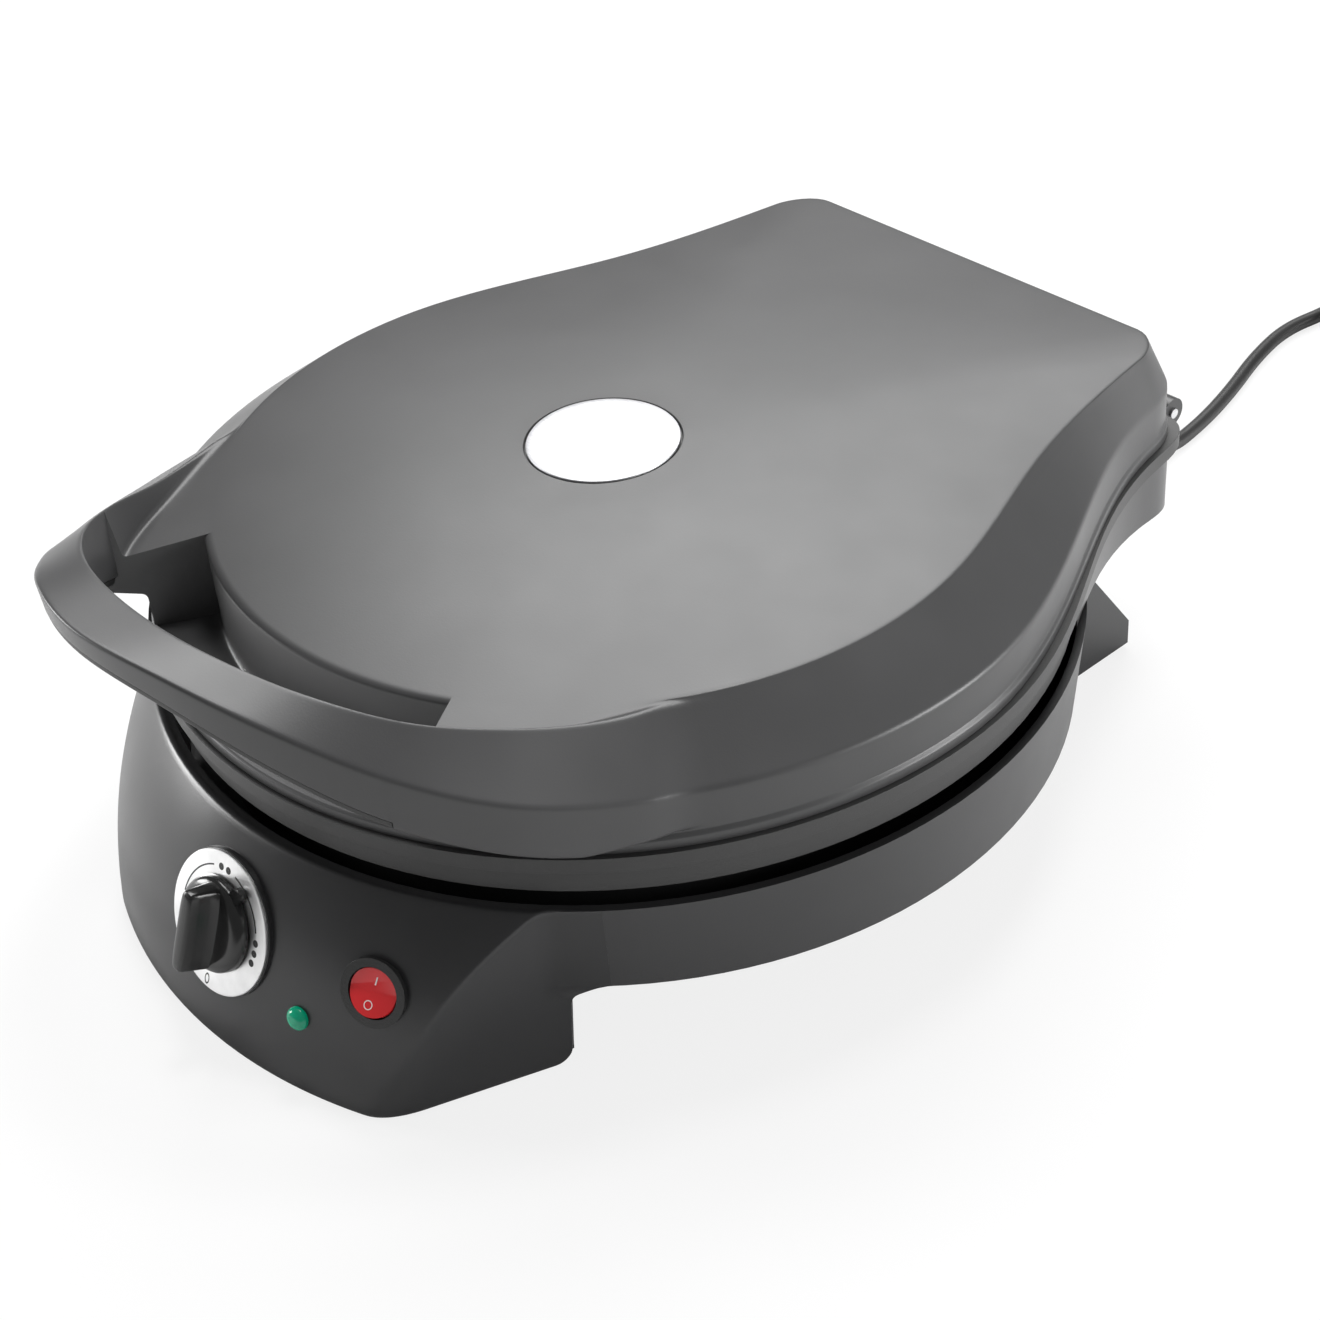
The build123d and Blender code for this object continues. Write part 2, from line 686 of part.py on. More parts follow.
def lid_cover():
    outer = lid_solid(0.0, COVER_Z, 0.0)
    outer = outer - sector(NOTCH_R, LID_R + 20, NOTCH_ANGLE, NOTCH_Z, EDGE_Z + 20)
    outer = outer + handle_root(1) + handle_root(-1) + handle_bar()
    hollow = lid_solid(WALL, COVER_Z - 1, WALL)
    hollow = hollow - sector(NOTCH_R - WALL, LID_R + 20, NOTCH_ANGLE + 2, NOTCH_Z - WALL, EDGE_Z + 20)
    cover = outer - (hollow - lid_bosses(0.0, FLANGE_TOP_Z + 0.2))
    for p in lid_boss_points():
        cover = cover - cylinder(SCREW_R + 0.1, SEAM_Z, FLANGE_TOP_Z + 12, p.X, p.Y)
    return cover - cylinder(BADGE_R + BADGE_GAP, CROWN_Z - BADGE_T, CROWN_Z + 10)


def lid_badge():
    return cylinder(BADGE_R, CROWN_Z - BADGE_T, CROWN_Z)


def handle_lower_cover():
    end = NOTCH_ANGLE - 1
    faces = []
    for i in range(-7, 8):
        angle = end * i / 7
        rim, crease, low = handle_points(angle)
        top = low[1] + LOWER_COVER_T - 0.4
        faces.append(upright_face([
            (rim[0] + 1.5, top), (low[0] - 0.6, top), (low[0] - 1.2, low[1]), (rim[0] + 2.4, low[1]),
        ], angle))
    return loft(faces)


def lid_frame():
    plate = wall_block(SEAM_Z, SEAM_Z + WALL, -FLANGE_REACH) - cylinder(PLATE_R, SEAM_Z - 1, SEAM_Z + 9)
    rim = wall_block(SEAM_Z, FLANGE_TOP_Z, -FLANGE_REACH) - wall_block(SEAM_Z - 1, FLANGE_TOP_Z + 1, WALL)
    skirt = turned([
        (PLATE_R - 1, SKIRT_Z),
        (SKIRT_R, SKIRT_Z),
        (SKIRT_R, SEAM_Z + 0.5),
        (SKIRT_R - WALL, SEAM_Z + 0.5),
        (SKIRT_R - WALL, SKIRT_Z + 2.5),
        (PLATE_R - 1, SKIRT_Z + 2.5),
    ])
    x_lid = HINGE_X + KNUCKLE_BASE_W + FIT
    knuckles = both_sides(knuckle(x_lid, KNUCKLE_LID_W, HINGE_Z + KNUCKLE_R, HINGE_PIN_R + RUNNING))
    frame = plate + rim + skirt + (knuckles - wall_block(0, SEAM_Z, -FLANGE_REACH - 0.5))
    for p in lid_boss_points():
        frame = frame - cylinder(SCREW_R + 0.1, SEAM_Z - 1, SEAM_Z + 9, p.X, p.Y)
    return frame


def lid_screws():
    solids = []
    for p in lid_boss_points():
        head = cylinder(SCREW_HEAD_R, SEAM_Z - SCREW_HEAD_T, SEAM_Z, p.X, p.Y)
        shank = cylinder(SCREW_R, SEAM_Z, FLANGE_TOP_Z + 11, p.X, p.Y)
        solids.append(head + shank)
    return solids


def lid_reflector():
    low = SEAM_Z + WALL
    t = SHEET_T
    sheet = turned([
        (PLATE_R + REFLECTOR_SEAT, low),
        (REFLECTOR_SHOULDER_R, low),
        (REFLECTOR_FLAT_R, REFLECTOR_FLAT_Z - t),
        (0, REFLECTOR_FLAT_Z - t),
        (0, REFLECTOR_FLAT_Z),
        (REFLECTOR_FLAT_R + t * 0.4, REFLECTOR_FLAT_Z),
        (REFLECTOR_SHOULDER_R + t * 0.4, low + t),
        (PLATE_R + REFLECTOR_SEAT, low + t),
    ])
    for a in (-ELEMENT_GAP_ANGLE, ELEMENT_GAP_ANGLE):
        p = polar(UPPER_ELEMENT_RING_R, 180 + a)
        sheet = sheet - cylinder(ELEMENT_R + 0.8, REFLECTOR_FLAT_Z - 5, REFLECTOR_FLAT_Z + 5, p.X, p.Y)
    return sheet


def hinge_pins():
    length = 2 * KNUCKLE_BASE_W + KNUCKLE_LID_W + 2 * FIT
    shank = Pos(HINGE_X, hinge_y(), HINGE_Z) * Rot(0, 90, 0) * Cylinder(
        HINGE_PIN_R, length + 1, align=(Align.CENTER, Align.CENTER, Align.MIN))
    head = Pos(HINGE_X, hinge_y(), HINGE_Z) * Rot(0, -90, 0) * Cylinder(
        HINGE_PIN_HEAD_R, 1.6, align=(Align.CENTER, Align.CENTER, Align.MIN))
    pin = shank + head
    return [pin, mirror(pin, Plane.YZ)]


def on(plane, offset, solid):
    return plane * Pos(0, 0, offset) * solid


def drum(radius, height):
    return Cylinder(radius, height, align=(Align.CENTER, Align.CENTER, Align.MIN))


def dial_ring(plane):
    return on(plane, DIAL_PAD, drum(DIAL_R, DIAL_T) - drum(BUSH_R + 0.2, DIAL_T))


def thermostat(plane):
    back = -WALL - PANEL_GAP
    case = on(plane, back - THERMOSTAT_DEPTH, drum(THERMOSTAT_R, THERMOSTAT_DEPTH))
    bush = on(plane, back, drum(BUSH_R, DIAL_PAD - back))
    bore = on(plane, back - SHAFT_SEAT, drum(KNOB_SHAFT_R + RUNNING, 30))
    return case + bush - bore


def thermostat_shaft(plane):
    low = -WALL - PANEL_GAP - SHAFT_SEAT + FIT
    return on(plane, low, drum(KNOB_SHAFT_R, KNOB_START + SHAFT_IN_KNOB - low))


def knob(plane):
    start = KNOB_START
    base = on(plane, start, drum(KNOB_R, KNOB_BASE_T))
    low = plane * Pos(0, 0, start) * RectangleRounded(KNOB_GRIP_W + 4, KNOB_GRIP_L, 3)
    high = plane * Pos(0, 0, start + KNOB_BASE_T + KNOB_GRIP_H) * RectangleRounded(KNOB_GRIP_W, KNOB_GRIP_L - 3, 3)
    grip = loft([low, high], ruled=True)
    a = math.radians(90 - POINTER_ANGLE)
    tip = Pos(math.cos(a) * (KNOB_R + 0.2), math.sin(a) * (KNOB_R + 0.2), 0) * Rot(0, 0, 90 - POINTER_ANGLE)
    nub = on(plane, start, tip * Box(POINTER_REACH * 2, 5.0, 3.0, align=(Align.CENTER, Align.CENTER, Align.MIN)))
    socket = on(plane, start - 1, drum(KNOB_SHAFT_R, SHAFT_IN_KNOB + 1))
    return base + grip + nub - socket


def switch_body(plane):
    flange = on(plane, 0.0, drum(BEZEL_R, BEZEL_T))
    case = on(plane, -SWITCH_DEPTH, drum(SWITCH_BODY_R, SWITCH_DEPTH))
    well = on(plane, -9.5, drum(ROCKER_R + 0.3, 20))
    tab = Box(4, 0.8, TERMINAL_L, align=(Align.CENTER, Align.CENTER, Align.MIN))
    upper_tab = on(plane, -SWITCH_DEPTH - TERMINAL_L, Pos(0, 4, 0) * tab)
    lower_tab = on(plane, -SWITCH_DEPTH - TERMINAL_L, Pos(0, -4, 0) * tab)
    return flange + case + upper_tab + lower_tab - well


def rocker(plane):
    """Round rocker with a shallow V face, at rest tipped by half its throw."""
    body = Sphere(ROCKER_R)
    body = body - Pos(0, 0, -4) * Box(40, 40, 40, align=(Align.CENTER, Align.CENTER, Align.MAX))
    upper = Rot(ROCKER_V, 0, 0) * Box(40, 40, 40, align=(Align.CENTER, Align.MIN, Align.MIN))
    lower = Rot(-ROCKER_V, 0, 0) * Box(40, 40, 40, align=(Align.CENTER, Align.MAX, Align.MIN))
    body = body - Pos(0, 0, ROCKER_WAIST) * upper - Pos(0, 0, ROCKER_WAIST) * lower
    return plane * Rot(-ROCKER_THROW / 2, 0, 0) * body


def lamp_lens(plane):
    stem = on(plane, -WALL - 0.8, drum(LAMP_R, WALL + 0.8 + 0.8))
    cap = on(plane, 0.8, drum(LAMP_R, 1.0))
    top = on(plane, 1.8, Cone(LAMP_R, LAMP_R * 0.5, 1.6, align=(Align.CENTER, Align.CENTER, Align.MIN)))
    flange = on(plane, -WALL - 2.2, drum(LAMP_R + 1.6, 1.4))
    return stem + cap + top + flange


def lamp_holder(plane):
    return on(plane, -WALL - 2.2 - 16, drum(LAMP_R + 0.8, 16))


def terminal_block():
    return Pos(-48, -150, FOOT_T + CONSOLE_FLOOR_T) * Box(42, 16, 13, align=(Align.CENTER, Align.CENTER, Align.MIN))


def thermal_fuse():
    body = Pos(0, -60, TRAY_FLOOR_Z - 4.0) * Rot(0, 90, 0) * Cylinder(4.0, 24)
    return body


def cord_relief():
    y = LID_BACK_Y
    neck = Pos(CORD_X, y, CORD_Z) * Rot(90, 0, 0) * drum(RELIEF_R, WALL + 1)
    flange = Pos(CORD_X, y - WALL - 0.2, CORD_Z) * Rot(90, 0, 0) * drum(RELIEF_R + 1.6, 2.4)
    taper = Pos(CORD_X, y, CORD_Z) * Rot(-90, 0, 0) * Cone(
        RELIEF_R, CORD_R + 0.9, RELIEF_L, align=(Align.CENTER, Align.CENTER, Align.MIN))
    return neck + flange + taper


def cord_path(points):
    """Straight runs joined by the largest arcs that they allow."""
    vectors = [Vector(*p) for p in points]
    radii = []
    for a, b, c in zip(vectors, vectors[1:], vectors[2:]):
        turn = (b - a).get_angle(c - b)
        shorter = min((b - a).length, (c - b).length)
        radii.append(0.45 * shorter / math.tan(math.radians(turn / 2)))
    print("cord radii", [round(r, 1) for r in radii])
    return FilletPolyline(*points, radius=radii)


# Each point of the free cord, chosen by hand along the photographed run and on to the coil.
CORD_ROUTE = [
    (CORD_X, LID_BACK_Y + RELIEF_L, CORD_Z),
    (CORD_X, 245.0, CORD_Z),
    (11.0, 263.0, 62.0),
    (12.5, 275.0, 38.0),
    (13.5, 286.0, 15.0),
    (14.0, 305.0, CORD_R),
    (10.5, 334.0, CORD_R),
    (3.5, 363.0, CORD_R),
    (-6.5, 394.0, CORD_R),
    (-12.0, 424.0, CORD_R),
    (COIL_START_X, 450.0, CORD_R),
    (COIL_START_X, COIL_START_Y, CORD_R),
]


def tube(path, radius):
    return sweep(Plane(origin=path @ 0, z_dir=path % 0) * Circle(radius), path=path)


def coil_edges():
    """Two layers of open turns: in along the table, up in the half turn that reverses, out again."""
    x = COIL_START_X
    y = COIL_START_Y
    low = CORD_R
    high = CORD_R + COIL_LAYER
    run = 2 * CORD_R
    y_turn = y + run
    north = Vector(0, 1, 0)
    south = Vector(0, -1, 0)
    edges = [Edge.make_line((x, y, low), (x, y_turn, low))]
    xs = [x, x + 2 * COIL_R, x + 2 * COIL_STEP]
    edges.append(Edge.make_tangent_arc((xs[0], y_turn, low), north, (xs[1], y_turn, low)))
    edges.append(Edge.make_tangent_arc((xs[1], y_turn, low), south, (xs[2], y_turn, low)))
    inner_r = COIL_R - 2 * COIL_STEP
    far = xs[2] + 2 * inner_r
    crest = Vector(xs[2] + inner_r, y_turn + math.hypot(inner_r, COIL_LAYER / 2), (low + high) / 2)
    rising = Edge.make_tangent_arc((xs[2], y_turn, low), north, crest)
    edges.append(rising)
    edges.append(Edge.make_tangent_arc(crest, rising % 1, (far, y_turn, high)))
    edges.append(Edge.make_tangent_arc((far, y_turn, high), south, (x, y_turn, high)))
    edges.append(Edge.make_tangent_arc((x, y_turn, high), north, (plug_place()[0], y_turn, high)))
    edges.append(Edge.make_line((plug_place()[0], y_turn, high), plug_place()))
    return edges


def cord_coil():
    edges = coil_edges()
    path = Wire(edges)
    print("coil length", round(path.length), "least gap", round(coil_gap(edges), 2))
    return tube(path, CORD_R)


def coil_gap(edges):
    """Least distance between the coil's turns, between points at least a quarter turn apart."""
    points = []
    travelled = 0.0
    for edge in edges:
        count = max(int(edge.length / 2), 2)
        points += [(travelled + edge.length * i / count, edge @ (i / count)) for i in range(count)]
        travelled += edge.length
    apart = COIL_R * math.pi / 2
    gaps = [(p - q).length for s, p in points for t, q in points if t - s > apart]
    return min(gaps) - 2 * CORD_R


def plug_place():
    return COIL_START_X + 2 * COIL_R + END_ASIDE, COIL_START_Y, CORD_R + COIL_LAYER


def plug_body():
    x, y, z = plug_place()
    taper = Pos(x, y, z) * Rot(90, 0, 0) * Cone(
        CORD_R + 0.9, CORD_R + 3.4, PLUG_RELIEF_L, align=(Align.CENTER, Align.CENTER, Align.MIN))
    block = extrude(Plane(origin=(x, y - PLUG_RELIEF_L, z), x_dir=(1, 0, 0), z_dir=(0, -1, 0))
                    * RectangleRounded(PLUG_W, 2 * z, 6), PLUG_L)
    return taper + block


def plug_pins():
    x, y, z = plug_place()
    face_y = y - PLUG_RELIEF_L - PLUG_L
    pin = Pos(0, face_y, z) * Rot(90, 0, 0) * drum(PIN_R, PIN_L)
    return [Pos(x + PIN_SPACING / 2, 0, 0) * pin, Pos(x - PIN_SPACING / 2, 0, 0) * pin]


def main():
    parts = {}
    dial = surface_plane(DIAL_ANGLE, DIAL_TILT, DIAL_HEIGHT)
    switch = surface_plane(SWITCH_ANGLE, SWITCH_TILT, SWITCH_HEIGHT)
    lamp = surface_plane(LAMP_ANGLE, LAMP_TILT, LAMP_HEIGHT)
    parts["base_shell"] = base_shell()
    parts["control_panel"] = control_panel()
    parts["console_floor"] = console_floor()
    parts["under_cover"] = under_cover()
    parts["under_screws"] = under_screws()
    parts["rear_cover"] = rear_cover()
    parts["rubber_feet"] = rubber_feet()
    parts["plate_support"] = plate_support()
    parts["baking_plate"] = baking_plate()
    parts["lower_tray"] = lower_tray()
    parts["lower_element"] = element(LOWER_ELEMENT_RING_R, LOWER_ELEMENT_Z, 0, TRAY_FLOOR_Z - 4)
    parts["lower_clips"] = clips(LOWER_ELEMENT_RING_R, TRAY_FLOOR_Z + SHEET_T, LOWER_ELEMENT_Z - ELEMENT_R, 0)
    parts["lid_cover"] = lid_cover()
    parts["lid_badge"] = lid_badge()
    parts["handle_lower_cover"] = handle_lower_cover()
    parts["lid_frame"] = lid_frame()
    parts["lid_screws"] = lid_screws()
    parts["lid_reflector"] = lid_reflector()
    parts["upper_element"] = element(UPPER_ELEMENT_RING_R, UPPER_ELEMENT_Z, 180, REFLECTOR_FLAT_Z + 7)
    parts["upper_clips"] = clips(UPPER_ELEMENT_RING_R, UPPER_ELEMENT_Z + ELEMENT_R, REFLECTOR_FLAT_Z - SHEET_T, 180)
    parts["hinge_pins"] = hinge_pins()
    parts["dial_ring"] = dial_ring(dial)
    parts["thermostat"] = thermostat(dial)
    parts["thermostat_shaft"] = thermostat_shaft(dial)
    parts["knob"] = knob(dial)
    parts["switch_body"] = switch_body(switch)
    parts["rocker"] = rocker(switch)
    parts["lamp_lens"] = lamp_lens(lamp)
    parts["lamp_holder"] = lamp_holder(lamp)
    parts["terminal_block"] = terminal_block()
    parts["thermal_fuse"] = thermal_fuse()
    parts["cord_relief"] = cord_relief()
    parts["cord"] = tube(cord_path(CORD_ROUTE), CORD_R)
    parts["cord_coil"] = cord_coil()
    parts["plug_body"] = plug_body()
    parts["plug_pins"] = plug_pins()
    for name, shape in parts.items():
        if isinstance(shape, list):
            shape = Compound(children=[Pos(0, CENTRE_Y, 0) * solid for solid in shape])
        else:
            shape = Pos(0, CENTRE_Y, 0) * shape
        export_step(shape, "parts/" + name + ".step")
        print(name, "valid", shape.is_valid, "volume", round(shape.volume))


main()
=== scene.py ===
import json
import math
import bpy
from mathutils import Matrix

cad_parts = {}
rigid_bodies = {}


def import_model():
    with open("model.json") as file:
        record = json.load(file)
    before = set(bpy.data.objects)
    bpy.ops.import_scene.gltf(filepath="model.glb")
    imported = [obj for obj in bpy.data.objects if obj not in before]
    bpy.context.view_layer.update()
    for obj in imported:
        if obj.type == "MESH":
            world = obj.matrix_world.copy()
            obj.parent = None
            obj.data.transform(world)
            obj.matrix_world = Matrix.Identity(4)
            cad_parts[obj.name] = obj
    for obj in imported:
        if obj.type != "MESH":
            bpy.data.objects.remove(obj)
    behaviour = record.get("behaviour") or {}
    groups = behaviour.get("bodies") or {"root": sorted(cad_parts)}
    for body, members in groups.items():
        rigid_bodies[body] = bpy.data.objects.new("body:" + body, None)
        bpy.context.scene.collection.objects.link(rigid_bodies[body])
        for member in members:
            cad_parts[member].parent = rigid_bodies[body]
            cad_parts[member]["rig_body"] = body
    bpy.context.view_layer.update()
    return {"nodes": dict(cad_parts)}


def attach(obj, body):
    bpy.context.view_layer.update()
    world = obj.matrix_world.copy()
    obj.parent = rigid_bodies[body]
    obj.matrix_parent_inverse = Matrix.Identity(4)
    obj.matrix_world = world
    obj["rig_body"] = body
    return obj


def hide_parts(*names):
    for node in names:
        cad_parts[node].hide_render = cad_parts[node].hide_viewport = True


bl_info = {
    "name": "Electric pizza maker",
    "version": (1, 0, 0),
    "blender": (4, 5, 0),
    "location": "3D View > Sidebar > Pizza maker",
    "description": "Builds a round electric pizza maker around its packed solids",
    "category": "Add Mesh",
}

import bmesh
import bpy
import numpy as np
from mathutils import Matrix, Vector

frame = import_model()
MM = 0.001

# Noise textures as (scale, detail), the part of their range that a colour follows, and the depth
# of a fine grain in metres.
CLOUD = (9.0, 4.0)
SHEEN = (38.0, 5.0)
GRAIN = (1400.0, 2.0)
BRUSHING = (60.0, 6.0)
RAMP_ENDS = (0.35, 0.65)
FINE_GRAIN = 0.00002
# Copies of solids are merged within the first distance, and slivers under the second one go,
# in metres.
MERGE_WITHIN = 0.00002
SLIVER = 0.00001
# The angle in degrees past which an edge of a new surface is sharp.
SHARP_ANGLE = 35.0


class Shader:
    """A node material built step by step around one Principled shader."""

    def __init__(self, name, colour, roughness, **sockets):
        self.material = bpy.data.materials.new(name)
        self.material.use_nodes = True
        self.tree = self.material.node_tree
        self.bsdf = self.tree.nodes["Principled BSDF"]
        self.bsdf.inputs["Base Color"].default_value = (*colour, 1.0)
        self.bsdf.inputs["Roughness"].default_value = roughness
        for key, value in sockets.items():
            self.bsdf.inputs[key.replace("_", " ")].default_value = value
        self.coords = self.node("ShaderNodeTexCoord")

    def node(self, kind, **values):
        """A new node with the given sockets and settings."""
        made = self.tree.nodes.new(kind)
        for key, value in values.items():
            if key in made.inputs:
                made.inputs[key].default_value = value
            else:
                setattr(made, key, value)
        return made

    def link(self, source, out, target, into):
        """Joins an output of one node to an input of another."""
        self.tree.links.new(source.outputs[out], target.inputs[into])

    def noise(self, scale, detail, stretch=None):
        """Noise on object coordinates, optionally stretched along the axes."""
        made = self.node("ShaderNodeTexNoise", Scale=scale, Detail=detail)
        if stretch is None:
            self.link(self.coords, "Object", made, "Vector")
        else:
            mapping = self.node("ShaderNodeMapping", Scale=stretch)
            self.link(self.coords, "Object", mapping, "Vector")
            self.link(mapping, "Vector", made, "Vector")
        return made

    def vary_colour(self, texture, dark, light):
        """Lets the base colour follow a texture from one colour to another."""
        ramp = self.node("ShaderNodeValToRGB")
        for element, place, tone in zip(ramp.color_ramp.elements, RAMP_ENDS, (dark, light)):
            element.position = place
            element.color = (*tone, 1.0)
        self.link(texture, "Fac", ramp, "Fac")
        self.link(ramp, "Color", self.bsdf, "Base Color")

    def vary_roughness(self, texture, low, high):
        """Lets the roughness follow a texture from one value to another."""
        spread = self.node("ShaderNodeMapRange")
        spread.inputs["To Min"].default_value = low
        spread.inputs["To Max"].default_value = high
        self.link(texture, "Fac", spread, "Value")
        self.link(spread, "Result", self.bsdf, "Roughness")

    def bump(self, texture, depth):
        """Raises the surface by a texture, to a depth in metres."""
        made = self.node("ShaderNodeBump", Strength=1.0, Distance=depth)
        self.link(texture, "Fac", made, "Height")
        self.link(made, "Normal", self.bsdf, "Normal")


def toned(colour, share):
    """A colour made darker or lighter by a share, and no lighter than white."""
    return tuple(min(c * share, 1.0) for c in colour)


def moulded(name, colour, roughness, grain=FINE_GRAIN, **sockets):
    """Injection-moulded plastic: a colour that drifts by 12%, a slightly uneven sheen and a faint
    spark-eroded grain, whose depth is in metres."""
    shader = Shader(name, colour, roughness, **sockets)
    shader.vary_colour(shader.noise(*CLOUD), toned(colour, 0.88), toned(colour, 1.12))
    shader.vary_roughness(shader.noise(*SHEEN), roughness - 0.05, roughness + 0.05)
    shader.bump(shader.noise(*GRAIN), grain)
    return shader.material


def brushed(name, colour, roughness, stretch):
    """Brushed metal: fine noise drawn out along one direction, in the colour, sheen and bump."""
    shader = Shader(name, colour, roughness, Metallic=1.0)
    lines = shader.noise(*BRUSHING, stretch)
    shader.vary_colour(lines, toned(colour, 0.85), toned(colour, 1.1))
    shader.vary_roughness(lines, roughness - 0.08, roughness + 0.1)
    shader.bump(lines, FINE_GRAIN)
    return shader.material


def put(name, mesh, material, body, slot, *nodes):
    """A piece with its mesh, material, the body it rides on and what it replaces; slot is unused."""
    made = bpy.data.objects.new(name, mesh)
    bpy.context.scene.collection.objects.link(made)
    mesh.materials.clear()
    mesh.materials.append(material)
    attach(made, body)
    if nodes:
        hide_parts(*nodes)
    return made


def from_solid(node, material, slot, bevel=0.0, angle=28.0, shape=None):
    """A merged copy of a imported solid, sharp past an angle in degrees, its edges optionally
    rounded by a bevel in millimetres. `shape` moves the copy's points first. The normals that
    the solid was imported with are dropped, because they leave triangles on its flat faces."""
    source = frame["nodes"][node]
    mesh = source.data.copy()
    work = bmesh.new()
    work.from_mesh(mesh)
    bmesh.ops.remove_doubles(work, verts=work.verts, dist=MERGE_WITHIN)
    bmesh.ops.dissolve_degenerate(work, edges=work.edges, dist=SLIVER)
    work.to_mesh(mesh)
    work.free()
    if "custom_normal" in mesh.attributes:
        mesh.attributes.remove(mesh.attributes["custom_normal"])
    if shape:
        points = np.empty(3 * len(mesh.vertices))
        mesh.vertices.foreach_get("co", points)
        mesh.vertices.foreach_set("co", shape(points.reshape(-1, 3)).ravel())
        mesh.update()
    mesh.shade_smooth()
    mesh.set_sharp_from_angle(angle=math.radians(angle))
    made = put(node + "_skin", mesh, material, source["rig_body"], slot, node)
    if bevel:
        rounding = made.modifiers.new("rounding", "BEVEL")
        rounding.width = bevel * MM
        rounding.segments = 2
        rounding.limit_method = "ANGLE"
        rounding.angle_limit = math.radians(angle)
        rounding.harden_normals = False
        rounding.use_clamp_overlap = True
    return made


# All surfaces are worked out in millimetres about the plate's axis, which stands this far from
# the origin.
CENTRE_Y = -4.8
# The radius of the ends of turned shapes, which are welded shut at the axis.
TIP = 0.002

# The console: radius and height of three points of its front arc, its side walls' distance,
# slope and lean, half its angle above the dish, its foot, the leg's rear edge, the skin's rounds
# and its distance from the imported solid.
FRONT_ARC = np.array([(200.0, 2.0), (191.3, 40.0), (172.0, 78.0)])
SIDE_AT_AXIS = 150.13
SIDE_SLOPE = 0.373
SIDE_LEAN = 0.115
CONSOLE_HALF = 47.0
FOOT_Z = 2.0
LEG_Y = 121.0
FOOT_ROUND = 7.0
FLARE = 10.0
SKIN_CLEAR = 0.3
# The dish's lower edge, its radius there and how its cone widens with the height.
DISH_LOW = 43.0
DISH_R = 166.7
DISH_LEAN = 3.3 / 36.0

# The lid: the radii of its wall and of its crown, the heights of the crown, its edge, the wall's
# crease and the lower edge, the skin's thickness and the recess for the disc.
WALL_R = 166.0
EDGE_R = 141.0
CROWN_Z = 147.0
EDGE_Z = 138.0
CREASE_Z = 120.0
LID_LOW = 100.0
LID_SKIN = 3.0
RECESS_R = 28.1
RECESS_Z = 145.5
# The ceiling inside the lid: its height at the axis and how far it falls to the edge.
CEILING_Z = 143.6
CEILING_FALL = 9.2
# Angles from the front, in degrees: the notch's end, the ends of the handle's bar and of the
# notch's inner skin, where the handle's root begins to fade and is gone, and the end of the
# round front at the wall.
NOTCH_ANGLE = 29.0
BAR_ANGLE = 29.6
INNER_ANGLE = 31.0
ROOT_FADES = 53.0
ROOT_ENDS = 61.0
SIDE_ANGLE = 94.0
NOTCH_R = 142.6
NOTCH_Z = 104.0
# The notch's upper edge and the outer end of its floor.
NOTCH_TOP = 136.9
LEDGE_R = 163.2
# Heights on the wall under the crease: the line that the handle's lower edge fades into, the
# line under it, the groove and the bead, and how far the bead stands out.
UNDER_CREASE_Z = 107.5
FOOT_LINE_Z = 105.6
GROOVE_Z = 104.9
BEAD_Z = 103.4
BEAD_PROUD = 1.1
# The ridge between crown and root lies this far behind the rim, on a cone that leaves the
# crown's edge height at the next radius and falls by the slope.
RIDGE_BACK = 2.5
RIDGE_FROM = 139.0
RIDGE_SLOPE = 3.0 / 29.6
# The slope that the lid's sides have where they meet its rear corners.
TAIL_SLOPE = 0.16
# The handle's rim and crease at every knot, in degrees from the front: how far they reach beyond
# the lid's wall and rise above its crease, and the rounds along them.
KNOT_STEP = 10.0
RIM_REACH = (21.5, 21.0, 16.0, 6.5, -7.5, -17.0, -23.5)
RIM_RISE = (53.5, 52.5, 45.0, 34.0, 24.0, 19.0, 18.0)
CREASE_REACH = (43.5, 39.4, 31.5, 23.5, 16.5, 7.5, 0.5)
CREASE_RISE = (58.0, 54.0, 40.0, 24.0, 12.5, 4.5, 0.5)
RIM_ROUND = 1.3
CREASE_ROUND = 1.5
# The handle's depth under its crease at the front, and how much it grows up to the last angle.
HANDLE_DEPTH = 12.0
HANDLE_DEEPER = 9.0
DEEPEST_ANGLE = 28.0


def smooth(t):
    """A step from 0 to 1 with level ends: three times the square less twice the cube."""
    t = np.clip(t, 0.0, 1.0)
    return t * t * (3 - 2 * t)


def eased(knots, angles):
    """Cubic through values given at the knots, level at the front: each span is the Hermite
    cubic whose slopes are half the difference of its neighbours. Past the last knot it stays."""
    values = np.array(knots)
    place = np.minimum(np.abs(angles) / KNOT_STEP, len(values) - 1.001)
    i = place.astype(int)
    t = place - i
    before = values[np.abs(i - 1)]
    after = values[np.minimum(i + 2, len(values) - 1)]
    a, b = values[i], values[np.minimum(i + 1, len(values) - 1)]
    bend = 2 * before - 5 * a + 4 * b - after
    twist = 3 * a - before - 3 * b + after
    return a + 0.5 * t * (b - before + t * (bend + t * twist))


def handle_curves(angles):
    """Rim, crease and lower edge of the handle as arrays of (radius, z). The lower edge lies
    under the crease by a depth that grows smoothly away from the front."""
    rim, crease = (np.stack([WALL_R + eased(reach, angles), CREASE_Z + eased(rise, angles)], -1)
                   for reach, rise in ((RIM_REACH, RIM_RISE), (CREASE_REACH, CREASE_RISE)))
    depth = HANDLE_DEPTH + HANDLE_DEEPER * smooth(np.abs(angles) / DEEPEST_ANGLE)
    low = np.stack([crease[:, 0] - 1, crease[:, 1] - depth], -1)
    return rim, crease, low


